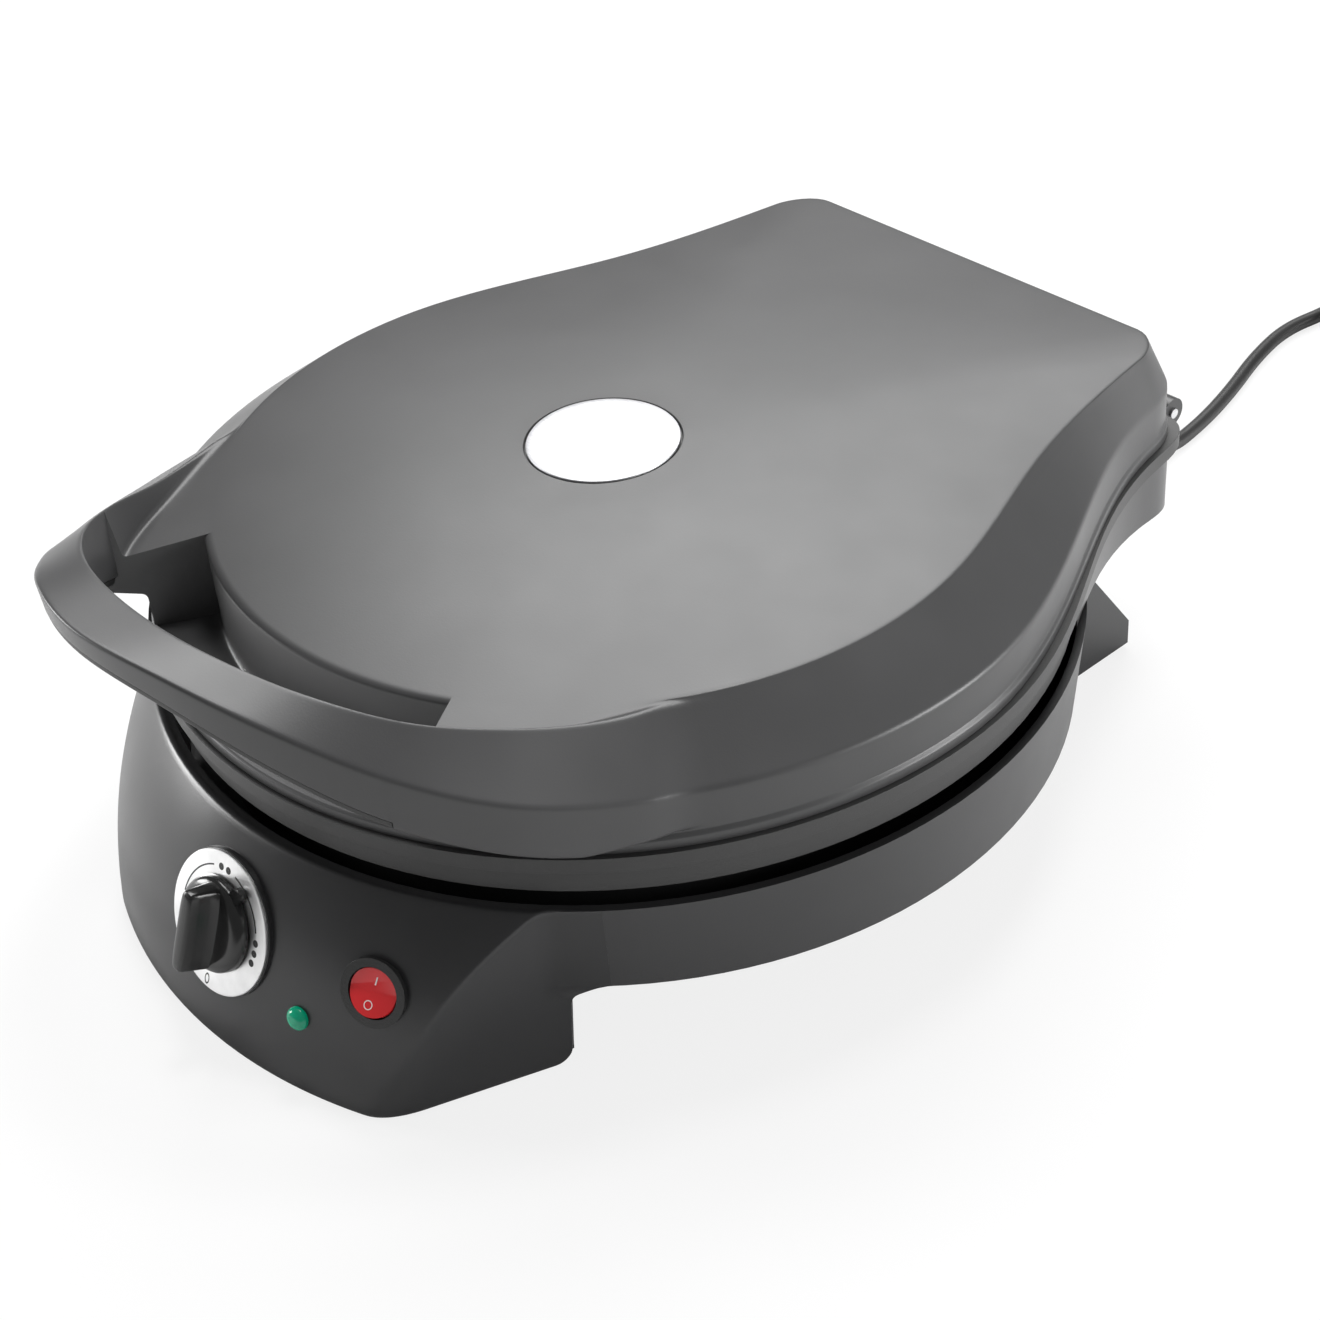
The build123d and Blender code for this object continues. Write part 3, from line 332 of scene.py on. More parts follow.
def around(radius_z, angles):
    """Points at (radius, z) and an angle from the front, about the plate's axis."""
    a = np.radians(angles)
    r, z = radius_z[..., 0], radius_z[..., 1]
    return np.stack(np.broadcast_arrays(r * np.sin(a), -r * np.cos(a), z), -1)


def lift(flat, z):
    """Points over a flat outline, at one height or at a height for each."""
    return np.concatenate([flat, np.broadcast_to(z, (len(flat),))[:, None]], 1)


def clamped(points, first, last, count):
    """Points of the cubic spline through three points with given end directions: Hermite
    spans over the chords, the middle slope from equal second derivatives."""
    p = np.array(points, float)
    h = np.linalg.norm(np.diff(p, axis=0), axis=1)
    d = np.diff(p, axis=0) / h[:, None]
    slopes = [np.array(first, float)]
    if len(p) == 3:
        pull = 3 * (h[1] * d[0] + h[0] * d[1]) - h[1] * slopes[0] - h[0] * np.array(last)
        slopes.append(pull / (2 * (h[0] + h[1])))
    slopes.append(np.array(last, float))
    t = np.linspace(0, 1, count)[1:, None]
    spans = []
    for k in range(len(p) - 1):
        spans.append((2 * t**3 - 3 * t**2 + 1) * p[k] + (t**3 - 2 * t**2 + t) * h[k] * slopes[k]
                     + (3 * t**2 - 2 * t**3) * p[k + 1] + (t**3 - t**2) * h[k] * slopes[k + 1])
    return np.concatenate(spans)


def lid_loop(front, inset, radius, wrap, waist, tail, back_y, corner):
    """Closed outline of the lid from above: a round front at the given angles, which reach to
    `wrap`, then on each side a spline over the waist to the tail, a rounded corner and the
    straight back, all drawn in by `inset`."""
    past = np.abs(front) - ROOT_ENDS
    spread = ROOT_ENDS + past * (wrap - ROOT_ENDS) / (SIDE_ANGLE - ROOT_ENDS)
    angles = np.where(past <= 0, front, np.sign(front) * spread)
    arc = around(np.array([radius - inset, 0.0]), angles)[:, :2]
    a = math.radians(wrap)
    lean = np.array([-TAIL_SLOPE, 1.0]) / math.hypot(TAIL_SLOPE, 1.0)
    waist = (waist[0] - inset, waist[1])
    end = (tail[0] - inset, tail[1])
    turn = (end[0] - corner, back_y - inset)
    side = clamped([arc[-1], waist, end], (math.cos(a), math.sin(a)), lean, 12)
    bend = clamped([end, turn], lean, (-1.0, 0.0), 9)
    back = np.stack([np.linspace(turn[0], 0.0, 8)[1:], np.full(7, turn[1])], -1)
    right = np.concatenate([side, bend, back])
    left = (right * (-1, 1))[::-1][1:]
    return np.concatenate([arc, right, left])


def wall_loop(front, inset=0.0):
    """The outline of the lid's wall."""
    return lid_loop(front, inset, radius=WALL_R, wrap=SIDE_ANGLE, waist=(131.0, 106.0),
                    tail=(103.0, 178.0), back_y=199.0, corner=17.0)


def edge_loop(front, inset=0.0):
    """The outline of the lid's crown."""
    return lid_loop(front, inset, radius=EDGE_R, wrap=99.0, waist=(112.0, 103.0),
                    tail=(96.0, 177.0), back_y=193.0, corner=15.0)


def rounded(before, corner, after, reach):
    """A corner of a section rounded by a quadratic arc that starts and ends `reach` along
    its two sides, but within 0.4 of them, with one further point on each side to hold the
    flats."""
    ends, holds = [], []
    for other in (before, after):
        length = np.maximum(np.linalg.norm(other - corner, axis=-1, keepdims=True), 1e-9)
        along = (other - corner) / length
        near = np.minimum(reach, 0.4 * length)
        ends.append(corner + along * near)
        holds.append(corner + along * np.minimum(near + 0.9, 0.46 * length))
    start, end = ends
    arc = [(1 - t)**2 * start + 2 * t * (1 - t) * corner + t**2 * end for t in np.linspace(0, 1, 6)]
    return [holds[0], *arc, holds[1]]


def section(corners, reaches, closed=False):
    """Rows of points along a section given by corner rows, each corner rounded by its reach."""
    rows = []
    n = len(corners)
    for i in range(n):
        if not closed and i in (0, n - 1):
            rows.append(corners[i])
        else:
            rows.extend(rounded(corners[i - 1], corners[i], corners[(i + 1) % n], reaches[i]))
    return np.stack(rows)


class Skin:
    """Collects grids of points and plain faces, and welds them into one mesh."""

    def __init__(self):
        self.points, self.faces, self.count = [], [], 0

    def add(self, points):
        """Takes in points and gives the number of the first one."""
        flat = points.reshape(-1, 3)
        self.points.append(flat)
        first = self.count
        self.count += len(flat)
        return first

    def grid(self, rows, loop_rows=False, loop_columns=False):
        """Quads between neighbouring rows and columns of an array (rows, columns, 3)."""
        first = self.add(rows)
        n, m = rows.shape[:2]
        index = first + np.arange(n * m).reshape(n, m)
        if loop_rows:
            index = np.concatenate([index, index[:1]], 0)
        if loop_columns:
            index = np.concatenate([index, index[:, :1]], 1)
        quads = np.stack([index[:-1, :-1], index[:-1, 1:], index[1:, 1:], index[1:, :-1]], -1)
        self.faces.extend(quads.reshape(-1, 4).tolist())

    def cap(self, ring):
        """One flat face over a ring of points."""
        first = self.add(ring)
        self.faces.append(list(range(first, first + len(ring))))

    def bar(self, rows):
        """Rows of points along a strip, closed into a bar with flat ends."""
        self.grid(rows, loop_rows=True)
        self.cap(rows[:, 0])
        self.cap(rows[:, -1])

    def mesh(self, name, weld=0.004):
        """The closed mesh, welded within `weld` millimetres, its faces turned outwards."""
        made = bpy.data.meshes.new(name)
        points = np.concatenate(self.points) + (0, CENTRE_Y, 0)
        made.from_pydata(points * MM, [], self.faces)
        work = bmesh.new()
        work.from_mesh(made)
        bmesh.ops.remove_doubles(work, verts=work.verts, dist=weld * MM)
        bmesh.ops.dissolve_degenerate(work, edges=work.edges, dist=0.001 * MM)
        bmesh.ops.recalc_face_normals(work, faces=work.faces)
        loose = sum(1 for edge in work.edges if not edge.is_manifold)
        if loose:
            raise RuntimeError(name + " has open edges: " + str(loose))
        work.to_mesh(made)
        work.free()
        made.shade_smooth()
        made.set_sharp_from_angle(angle=math.radians(SHARP_ANGLE))
        return made


def joined(*meshes):
    """The meshes side by side in the first one, without welding them."""
    work = bmesh.new()
    for mesh in meshes:
        work.from_mesh(mesh)
    work.to_mesh(meshes[0])
    work.free()
    for mesh in meshes[1:]:
        bpy.data.meshes.remove(mesh)
    meshes[0].shade_smooth()
    meshes[0].set_sharp_from_angle(angle=math.radians(SHARP_ANGLE))
    return meshes[0]


class Spot:
    """A plane on the console's curved front, as in the part's source: it meets the front arc at
    a height and at an angle from the front, and leans back by a tilt."""

    def __init__(self, angle, tilt, height):
        start, others = FRONT_ARC[0], FRONT_ARC[1:]
        excess = (others**2).sum(1) - (start**2).sum()
        self.middle = np.linalg.solve(2 * (others - start), excess)
        self.span = math.hypot(*(start - self.middle))
        radius = self.radius_at(height)
        a, k = math.radians(angle), math.radians(tilt)
        self.origin = np.array([radius * math.sin(a), -radius * math.cos(a), height])
        self.out = np.array([math.sin(a) * math.cos(k), -math.cos(a) * math.cos(k), math.sin(k)])
        self.level = np.array([math.cos(a), math.sin(a), 0.0])
        self.up = np.cross(self.out, self.level)

    def radius_at(self, z):
        """The radius of the console's front arc at a height."""
        return self.middle[0] + np.sqrt(self.span**2 - (z - self.middle[1])**2)

    def place(self, x, y, h):
        """Points at level, up and outward distances from the spot."""
        x, y, h = np.broadcast_arrays(x, y, h)
        across, along, outward = x[..., None], y[..., None], h[..., None]
        return self.origin + across * self.level + along * self.up + outward * self.out

    def turned(self, profile, count=96):
        """A profile of (radius, height) turned about the spot's outward axis."""
        a = np.linspace(0, 2 * math.pi, count, endpoint=False)
        r, h = np.array(profile).T
        return self.place(r[:, None] * np.sin(a), r[:, None] * np.cos(a), h[:, None])


# Angle from the front, tilt and height of the controls, how far the dial is set back into the
# console, and the thickness of painted marks.
DIAL_AT = (2.4, 22.1, 48.0)
SWITCH_AT = (23.2, 23.0, 49.6)
LAMP_AT = (14.4, 17.0, 31.2)
DIAL_BACK = 0.9
PAINT = 0.06

DIAL, SWITCH, LAMP = Spot(*DIAL_AT), Spot(*SWITCH_AT), Spot(*LAMP_AT)
DIAL.origin = DIAL.origin - DIAL_BACK * DIAL.out


def ring_mesh():
    """The dial's ring: a flat washer with a small bevel at its outer edge, turned about the dial."""
    profile = [(5.3, 1.0), (25.3, 1.0), (25.4, 1.1), (25.4, 1.9), (25.2, 2.15), (24.9, 2.2),
               (24.2, 2.2), (15.0, 2.2), (5.3, 2.2)]
    skin = Skin()
    skin.grid(DIAL.turned(profile), loop_rows=True, loop_columns=True)
    return skin.mesh("dial_ring_skin")


def arc_mark(skin, spot, radius, start, stop, width, height):
    """A thin painted arc, as a strip whose two edges and top follow a circle."""
    a = np.radians(np.linspace(start, stop, max(int(abs(stop - start) / 3), 3)))
    inner, outer, top = radius - width / 2, radius + width / 2, height + PAINT
    skin.bar(np.stack([spot.place(r * np.sin(a), r * np.cos(a), h) for r, h in (
        (inner, height), (inner, top), (outer, top), (outer, height))]))


def disc_mark(skin, spot, x, y, rx, ry, height, hollow=0.06):
    """A thin painted oval, open in its middle by a share of its size."""
    a = np.linspace(0, 2 * math.pi, 28, endpoint=False)
    rows = [spot.place(x + rx * share * np.sin(a), y + ry * share * np.cos(a), h) for share, h in (
        (hollow, height), (hollow, height + PAINT), (1.0, height + PAINT), (1.0, height))]
    skin.grid(np.stack(rows), loop_rows=True, loop_columns=True)


def dial_marks_mesh():
    """Paint on the ring: an oval at the off mark, one, two and three dots, and arcs between."""
    skin = Skin()
    radius, height = 20.1, 2.18
    dot, apart = 1.3, 11
    for start, stop, width in ((-83, -20.5, 0.55), (13, 73, 0.7), (-166, -113, 0.4)):
        arc_mark(skin, DIAL, radius, start, stop, width, height)
    for dots, centre in ((1, -101.3), (2, -3.5), (3, 94.3)):
        for k in range(dots):
            a = math.radians(centre + apart * (k - (dots - 1) / 2))
            disc_mark(skin, DIAL, radius * math.sin(a), radius * math.cos(a), dot, dot, height)
    off, far = math.radians(183.9), 22.3
    disc_mark(skin, DIAL, far * math.sin(off), far * math.cos(off), 1.2, 2.1, height, 0.7)
    return skin.mesh("dial_marks", weld=0.0001)


def lamp_mesh():
    """The lamp's lens: a turned collar and a low dome."""
    profile = [(2 * TIP, -3.8), (4.1, -3.8), (4.2, -3.6), (4.2, 1.2), (4.05, 1.6), (3.7, 2.1),
               (3.0, 2.75), (2.1, 3.2), (1.1, 3.38), (2 * TIP, 3.4)]
    skin = Skin()
    skin.grid(LAMP.turned(profile, 48), loop_columns=True)
    return skin.mesh("lamp_lens_skin", weld=0.02)


def knob_mesh():
    """The knob: a turned base with rounded edges, over it a grip, and a small pointer on the
    base. Each level of the grip is a superellipse, which narrows and grows squarer from the
    base toward a slightly domed cap."""
    foot = 2.6
    base = Skin()
    profile = [(TIP, foot), (16.6, foot), (16.9, foot + 0.3), (16.7, foot + 2.4),
               (16.1, foot + 3.5), (15.0, foot + 4.2), (13.6, foot + 4.6), (12.0, foot + 4.7),
               (TIP, foot + 4.7)]
    base.grid(DIAL.turned(profile), loop_columns=True)
    # Height, half width, half length and power of each level.
    levels = np.array([
        (3.0, TIP, TIP, 2.0), (3.0, 7.2, 15.9, 2.6), (6.4, 6.2, 15.9, 3.0), (7.8, 5.0, 15.7, 3.6),
        (10.5, 4.2, 15.4, 4.2), (14.0, 3.6, 15.1, 4.6), (16.4, 3.25, 14.9, 4.8),
        (17.2, 3.0, 14.6, 4.6), (17.6, 2.3, 13.9, 4.0), (17.75, 1.2, 12.0, 3.0),
        (17.8, TIP, TIP, 2.0)])
    height, half_width, half_length, power = levels.T[..., None]
    a = np.linspace(0, 2 * math.pi, 72, endpoint=False)
    c, d = np.cos(a), np.sin(a)
    x = half_width * np.sign(c) * np.abs(c)**(2 / power)
    y = half_length * np.sign(d) * np.abs(d)**(2 / power)
    grip = Skin()
    grip.grid(DIAL.place(x, y, height), loop_columns=True)
    pointer = Skin()
    t = math.radians(32.0)
    turn = np.array([(math.sin(t), math.cos(t)), (math.cos(t), -math.sin(t))])
    corners = [(15.5, 2.6), (19.6, 2.4), (20.8, 0.9), (20.8, -0.9), (19.6, -2.4), (15.5, -2.6)]
    flat = np.array(corners) @ turn
    rings = [DIAL.place(flat[:, 0] * share, flat[:, 1] * share, h)
             for share, h in ((1.0, foot + 0.1), (1.0, foot + 2.6), (0.985, foot + 3.0))]
    pointer.grid(np.stack(rings), loop_columns=True)
    pointer.cap(rings[0])
    pointer.cap(rings[-1])
    return joined(base.mesh("knob_skin"), grip.mesh("knob_grip"), pointer.mesh("knob_pointer"))


def rocker_marks_mesh():
    """Paint on the rocker: a bar on its upper half and a ring on its lower half. The two halves
    slope from a fold in the middle, the rocker is tilted, and the marks stand a little turned."""
    skin = Skin()
    fold, tilt, turn = (math.radians(angle) for angle in (9.0, -8.0, 12.0))
    for half in (1, -1):
        y = 4.3 * half
        slope = fold * half + tilt
        rise = 1.4 + abs(y) * math.sin(fold) * math.cos(tilt) + y * math.sin(tilt)
        here = Spot(*SWITCH_AT)
        here.origin = SWITCH.place(0.9 * half, y * math.cos(slope), rise + 0.02)
        along = SWITCH.up * math.cos(slope) + SWITCH.out * math.sin(slope)
        here.out = SWITCH.out * math.cos(slope) - SWITCH.up * math.sin(slope)
        here.up = along * math.cos(turn) + SWITCH.level * math.sin(turn)
        here.level = SWITCH.level * math.cos(turn) - along * math.sin(turn)
        if half > 0:
            x, h = np.array([(-0.22, 0.0), (-0.22, PAINT), (0.22, PAINT), (0.22, 0.0)]).T
            skin.bar(here.place(x[:, None], np.array([-1.5, 1.5]), h[:, None]))
        else:
            disc_mark(skin, here, 0.0, 0.0, 1.6, 1.6, 0.0, 0.8)
    return skin.mesh("rocker_marks", weld=0.0001)


def badge_mesh():
    """The lid's disc: turned about the plate's axis, flat with a rounded edge."""
    profile = np.array([(TIP, 145.6), (27.2, 145.6), (27.5, 145.8), (27.5, 146.6), (27.3, 146.9),
                        (26.9, 147.0), (25.0, 147.03), (15.0, 147.05), (TIP, 147.05)])
    angles = np.linspace(0, 360, 120, endpoint=False)
    skin = Skin()
    skin.grid(around(profile[:, None], angles), loop_columns=True)
    return skin.mesh("lid_badge_skin", weld=0.01)


def evened(loop):
    """The distance of a loop from the axis, averaged by a bell curve over the angle."""
    bell = 16.0
    direction = np.degrees(np.arctan2(loop[:, 0], -loop[:, 1]))
    order = np.argsort(direction)
    steps = np.arange(-180, 180)
    span = np.interp(steps, direction[order], np.linalg.norm(loop, axis=1)[order], period=360)
    apart = (steps[:, None] - steps[None, :] + 180) % 360 - 180
    weight = np.exp(-0.5 * (apart / bell)**2)
    return np.interp(direction, steps, weight @ span / weight.sum(1), period=360)


def lid_crown(edge):
    """Rows of points from the recess for the disc to the crown's edge. The crown's height falls
    with the square of the distance over the evened edge distance, and a share of the fourth
    power brings the true edge to its own height."""
    span, even = np.linalg.norm(edge, axis=1), evened(edge)
    toward = edge / span[:, None]
    fall = CROWN_Z - EDGE_Z

    def crowned(flat):
        """A flat row at the crown's height."""
        far = np.linalg.norm(flat, axis=1)
        excess = fall * ((span / even)**2 - 1)
        return lift(flat, CROWN_Z - fall * (far / even)**2 + excess * (far / span)**4)

    recess = [(0.001, RECESS_Z), (15.0, RECESS_Z), (RECESS_R - 0.2, RECESS_Z), (RECESS_R, 145.7),
              (RECESS_R, 146.3), (RECESS_R + 0.3, 146.63), (RECESS_R + 0.7, 146.61)]
    rows = [lift(toward * radius, height) for radius, height in recess]
    for share in np.linspace(0, 1, 15)[1:-1]:
        rows.append(crowned(toward * RECESS_R * (1 - share) + edge * share))
    return rows, crowned(edge * 0.975)


def lid_outside(wall, edge, angles, notch):
    """Rows of points of the lid's outer skin, from the axis over the crown, the sloping band and
    the wall to the lower edge. Up to the root's end the band swells outward and upward into the
    handle's root, by a smooth share of the handle's curves. In the notch's columns a section
    down the notch and along its floor takes the band's place."""
    crown, near_edge = lid_crown(edge)
    top, crease_line = lift(edge, EDGE_Z), lift(wall, CREASE_Z)
    outward = wall / np.linalg.norm(wall, axis=1, keepdims=True)
    rim, crease, low = handle_curves(angles)
    low[:, 1] = np.maximum(low[:, 1], 106.0)
    ridge_r = np.maximum(rim[:, 0] - RIDGE_BACK, EDGE_R + 0.2)
    ridge = np.stack([ridge_r, EDGE_Z - RIDGE_SLOPE * (ridge_r - RIDGE_FROM)], -1)
    foot = np.stack([np.full(len(wall), WALL_R), np.clip(low[:, 1] - 3.0, 105.4, 118.0)], -1)
    own = (1 - smooth((np.abs(angles) - ROOT_FADES) / (ROOT_ENDS - ROOT_FADES)))[:, None]

    def root(handle, plain):
        """The handle's line where the root is whole, and the plain lid's line past its end."""
        return own * around(handle, angles) + (1 - own) * plain

    proud = wall + outward * BEAD_PROUD
    bead, bottom = lift(proud, BEAD_Z), lift(proud, LID_LOW)
    closed_rows = section(
        [near_edge, top, root(ridge, top + (crease_line - top) * 0.04),
         root(np.maximum(rim, ridge + (0.8, 0.3)), top + (crease_line - top) * 0.10),
         root(crease, crease_line), root(low, lift(wall, UNDER_CREASE_Z)),
         root(foot, lift(wall, FOOT_LINE_Z)), lift(wall, GROOVE_Z), bead, bottom],
        [0, 3.2, 2.0, RIM_ROUND, CREASE_ROUND, 1.6, 2.2, 0.4, 0.5, 0])
    head, heel, ledge = (around(np.array(point), angles)
                         for point in ((NOTCH_R, NOTCH_TOP), (NOTCH_R, NOTCH_Z), (LEDGE_R, NOTCH_Z)))
    lip = lift(wall + outward * 0.2, NOTCH_Z)
    open_rows = section(
        [near_edge, top, head, heel, (ledge + heel) / 2, ledge, (lip + ledge) / 2, lip, bead, bottom],
        [0, 2.2, 0.9, 2.5, 0.5, 0.4, 0.1, 0.3, 0.5, 0])
    return np.concatenate([crown, np.where(notch[:, None], open_rows, closed_rows)])


def lid_inside(wall, edge, angles, notch):
    """Rows of points of the lid's inner skin, from its lower edge to the axis. The ceiling falls
    with the square of the distance, and in the notch's columns the skin goes round the notch."""
    rim_z = CEILING_Z - CEILING_FALL
    foot, crease, rim = lift(wall, LID_LOW), lift(wall, CREASE_Z - 2.0), lift(edge, rim_z)
    plain = [foot, lift(wall, 109.0), crease, (crease + rim) / 2, rim]
    heel, head = (around(np.array((NOTCH_R - LID_SKIN, height)), angles)
                  for height in (NOTCH_Z - LID_SKIN, rim_z - 0.4))
    stepped = [foot, lift(wall, NOTCH_Z - LID_SKIN), heel, head, rim]
    ceiling = [lift(edge * share, CEILING_Z - CEILING_FALL * share**2)
               for share in (0.8, 0.5, 0.25, 0.00001)]
    return np.concatenate([np.where(notch[:, None], stepped, plain), ceiling])


def handle_bar_mesh():
    """The handle's bar: the section between rim, crease and lower edge, carried across the notch
    and drawn in a little at its ends, which stand inside the root."""
    half = np.append(np.arange(NOTCH_ANGLE + 1), BAR_ANGLE)
    angles = np.unique(np.concatenate([-half, half]))
    rim, crease, low = handle_curves(angles)
    corners = [rim, crease, low + (0, 3.0), np.stack([rim[:, 0] + 0.5, low[:, 1] + 3.0], -1)]
    bar = section([around(c, angles) for c in corners], [RIM_ROUND, CREASE_ROUND, 0.3, 0.8], closed=True)
    for end in (0, -1):
        middle = bar[:, end].mean(axis=0)
        bar[:, end] += (middle - bar[:, end]) * 0.008
    skin = Skin()
    skin.bar(bar)
    return skin.mesh("handle_bar")


def lid_mesh():
    """The lid's moulded cover with its handle: the rows of the outer and the inner skin, closed
    into one grid. Where the outer and the inner notch end, a column of points stands twice. The
    strip between the two has no width, so one flat face for the step takes its place."""
    half = np.concatenate([
        np.arange(NOTCH_ANGLE), [NOTCH_ANGLE, NOTCH_ANGLE, BAR_ANGLE, INNER_ANGLE, INNER_ANGLE],
        np.arange(INNER_ANGLE + 1, ROOT_ENDS), np.linspace(ROOT_ENDS + 2, SIDE_ANGLE, 14)])
    front = np.concatenate([-half[::-1], half[1:]])
    wall, edge = wall_loop(front), edge_loop(front)
    n = len(wall)
    angles = np.full(n, 180.0)
    angles[:len(front)] = front
    column = np.abs(np.arange(n) - len(half) + 1)
    outer = lid_outside(wall, edge, angles, column <= np.argmax(half == NOTCH_ANGLE))
    inner = lid_inside(wall_loop(front, LID_SKIN), edge_loop(front, LID_SKIN), angles,
                       column <= np.argmax(half == INNER_ANGLE))
    whole = np.concatenate([outer, lift(wall, LID_LOW)[None], inner])
    skin = Skin()
    skin.grid(whole, loop_columns=True)
    doubled = np.flatnonzero(np.isclose(wall, np.roll(wall, -1, axis=0)).all(1)).tolist()
    skin.faces = [face for k, face in enumerate(skin.faces) if k % n not in doubled]
    for i in doubled:
        here, there = whole[:, i], whole[:, (i + 1) % n]
        apart = np.linalg.norm(here - there, axis=1) > 1e-6
        first, last = np.argmax(apart), len(apart) - 1 - np.argmax(apart[::-1])
        skin.cap(np.concatenate([here[first - 1:last + 2], there[first:last + 1][::-1]]))
    return joined(skin.mesh("lid_cover_skin"), handle_bar_mesh())


def handle_cover_mesh():
    """The strip that closes the handle from below: a flat section carried round the handle."""
    end, thick = 28.85, 2.7
    angles = np.linspace(-end, end, 61)
    rim, _, low = handle_curves(angles)
    inner, outer, under = rim[:, 0], low[:, 0], low[:, 1]
    corners = [np.stack(corner, -1) for corner in (
        (inner + 1.5, under + thick), (outer - 0.3, under + thick), (outer - 0.5, under),
        (inner + 2.4, under))]
    skin = Skin()
    skin.bar(section([around(c, angles) for c in corners], [0.3, 0.3, 1.0, 0.8], closed=True))
    return skin.mesh("handle_lower_cover_skin")


def dish_radius(z):
    """The dish's cone: its radius at a height."""
    return DISH_R + DISH_LEAN * (z - DISH_LOW)


def wall_radius(phi, z):
    """The console's leaning side wall as a radius at an angle from the front."""
    return (SIDE_AT_AXIS + SIDE_LEAN * z) / (np.sin(phi) + SIDE_SLOPE * np.cos(phi))


def softer(a, b, reach):
    """The smaller of two values, rounded where they are nearer to each other than `reach`."""
    h = np.clip(0.5 + 0.5 * (b - a) / reach, 0, 1)
    return b * (1 - h) + a * h - reach * h * (1 - h)


def rounding_at(distance, radius):
    """How far a quarter round of this radius draws an end in, at a distance along its side."""
    left = np.clip(radius - distance, 0, radius)
    return radius - np.sqrt(radius**2 - left**2)


def console_mesh():
    """The console's moulded skin. In each level cut its outer radius about the plate's axis is
    the rounded smaller of the front arc and the leaning side wall, and then the rounded larger
    of that and the dish's cone, so that the walls run into the dish. Below the dish the ends
    stand at the leg's rear edge, drawn in by a quarter round at the foot and carried out by
    another one under the dish. The inner skin follows inside."""
    # Heights at the foot and at the top, with how far the outer skin is drawn in there.
    foot_rounds = ((FOOT_Z, 0.8), (2.15, 0.35), (2.6, 0.1), (3.3, 0.0))
    top_rounds = ((78.4, 0.0), (78.9, 0.2), (79.2, 0.5), (79.35, 1.0))
    round_z, round_in = np.array(foot_rounds + top_rounds).T
    z = np.concatenate([
        round_z[:4], np.linspace(4, 11, 9), np.linspace(13, 31, 8), np.linspace(32, DISH_LOW - 0.05, 14),
        [DISH_LOW + 0.05, 45], np.linspace(48, 77, 14), round_z[4:]])
    front = DIAL.radius_at(z) + SKIN_CLEAR
    side_at = SIDE_AT_AXIS + SIDE_LEAN * z
    corner = np.arcsin(side_at / (front * math.hypot(1, SIDE_SLOPE))) - math.atan(SIDE_SLOPE)
    # Over this height under the dish, the ends go over from the leg's line to the dish's.
    web_height = 12
    web = 1 - smooth((DISH_LOW - z) / web_height)
    wall_end = np.arctan2(side_at - SIDE_SLOPE * LEG_Y, LEG_Y)
    leg = wall_end + (np.arccos(LEG_Y / dish_radius(z)) - wall_end) * web
    foot = rounding_at(z - FOOT_Z, FOOT_ROUND)
    flare = rounding_at(DISH_LOW - z, FLARE)
    end = np.where(z < DISH_LOW, leg + (flare - foot) / DISH_R, math.radians(CONSOLE_HALF))
    near = 1 - (1 - np.linspace(0, 1, 26))**2
    far = np.linspace(0, 1, 23)[1:]**1.5
    z, corner, end, web = z[:, None], corner[:, None], end[:, None], web[:, None]
    half = np.concatenate([corner * near, corner + (end - corner) * far], 1)
    phi = np.concatenate([-half[:, :0:-1], half], 1)
    side = np.abs(phi)
    # The corner's rounding grows toward the foot, and the dish draws back under its lower edge.
    fillet = 1.0 + 9.0 * np.clip(1 - z / 45, 0, 1)**1.5
    wall = wall_radius(np.maximum(side, 0.2), z) + SKIN_CLEAR
    dish = dish_radius(z) + 0.03 - 3.5 * (1 - web)
    outer = -softer(-softer(front[:, None], wall, fillet), -dish, 2.0)
    inner = outer - np.interp(z, [0, 40, 46, 76, 80], [3.0, 3.0, 1.4, 1.4, 2.0])
    outer = outer - np.interp(z, round_z, round_in)
    # Beyond the corners the top edge sinks a little toward the dish's rim.
    beyond = smooth((side - corner) / (end - corner))
    level = z - np.clip(z - 78, 0, None) * 0.35 * beyond
    outer, inner = (np.stack([r * np.sin(phi), -r * np.cos(phi), level], -1) for r in (outer, inner))
    skin = Skin()
    skin.grid(outer)
    skin.grid(inner)
    for at in (0, -1):
        skin.grid(np.stack([outer[at], inner[at]]))
        skin.grid(np.stack([outer[:, at], inner[:, at]]))
    return joined(skin.mesh("console_skin"), pad_mesh())


def pad_mesh():
    """The round pad under the dial's ring, turned about the dial."""
    profile = [(TIP, -4.0), (25.8, -4.0), (25.8, 0.8), (25.6, 1.0), (TIP, 1.0)]
    rings = DIAL.turned(profile)
    skin = Skin()
    skin.grid(rings, loop_columns=True)
    skin.cap(rings[0])
    skin.cap(rings[-1])
    return skin.mesh("dial_pad", weld=0.0001)


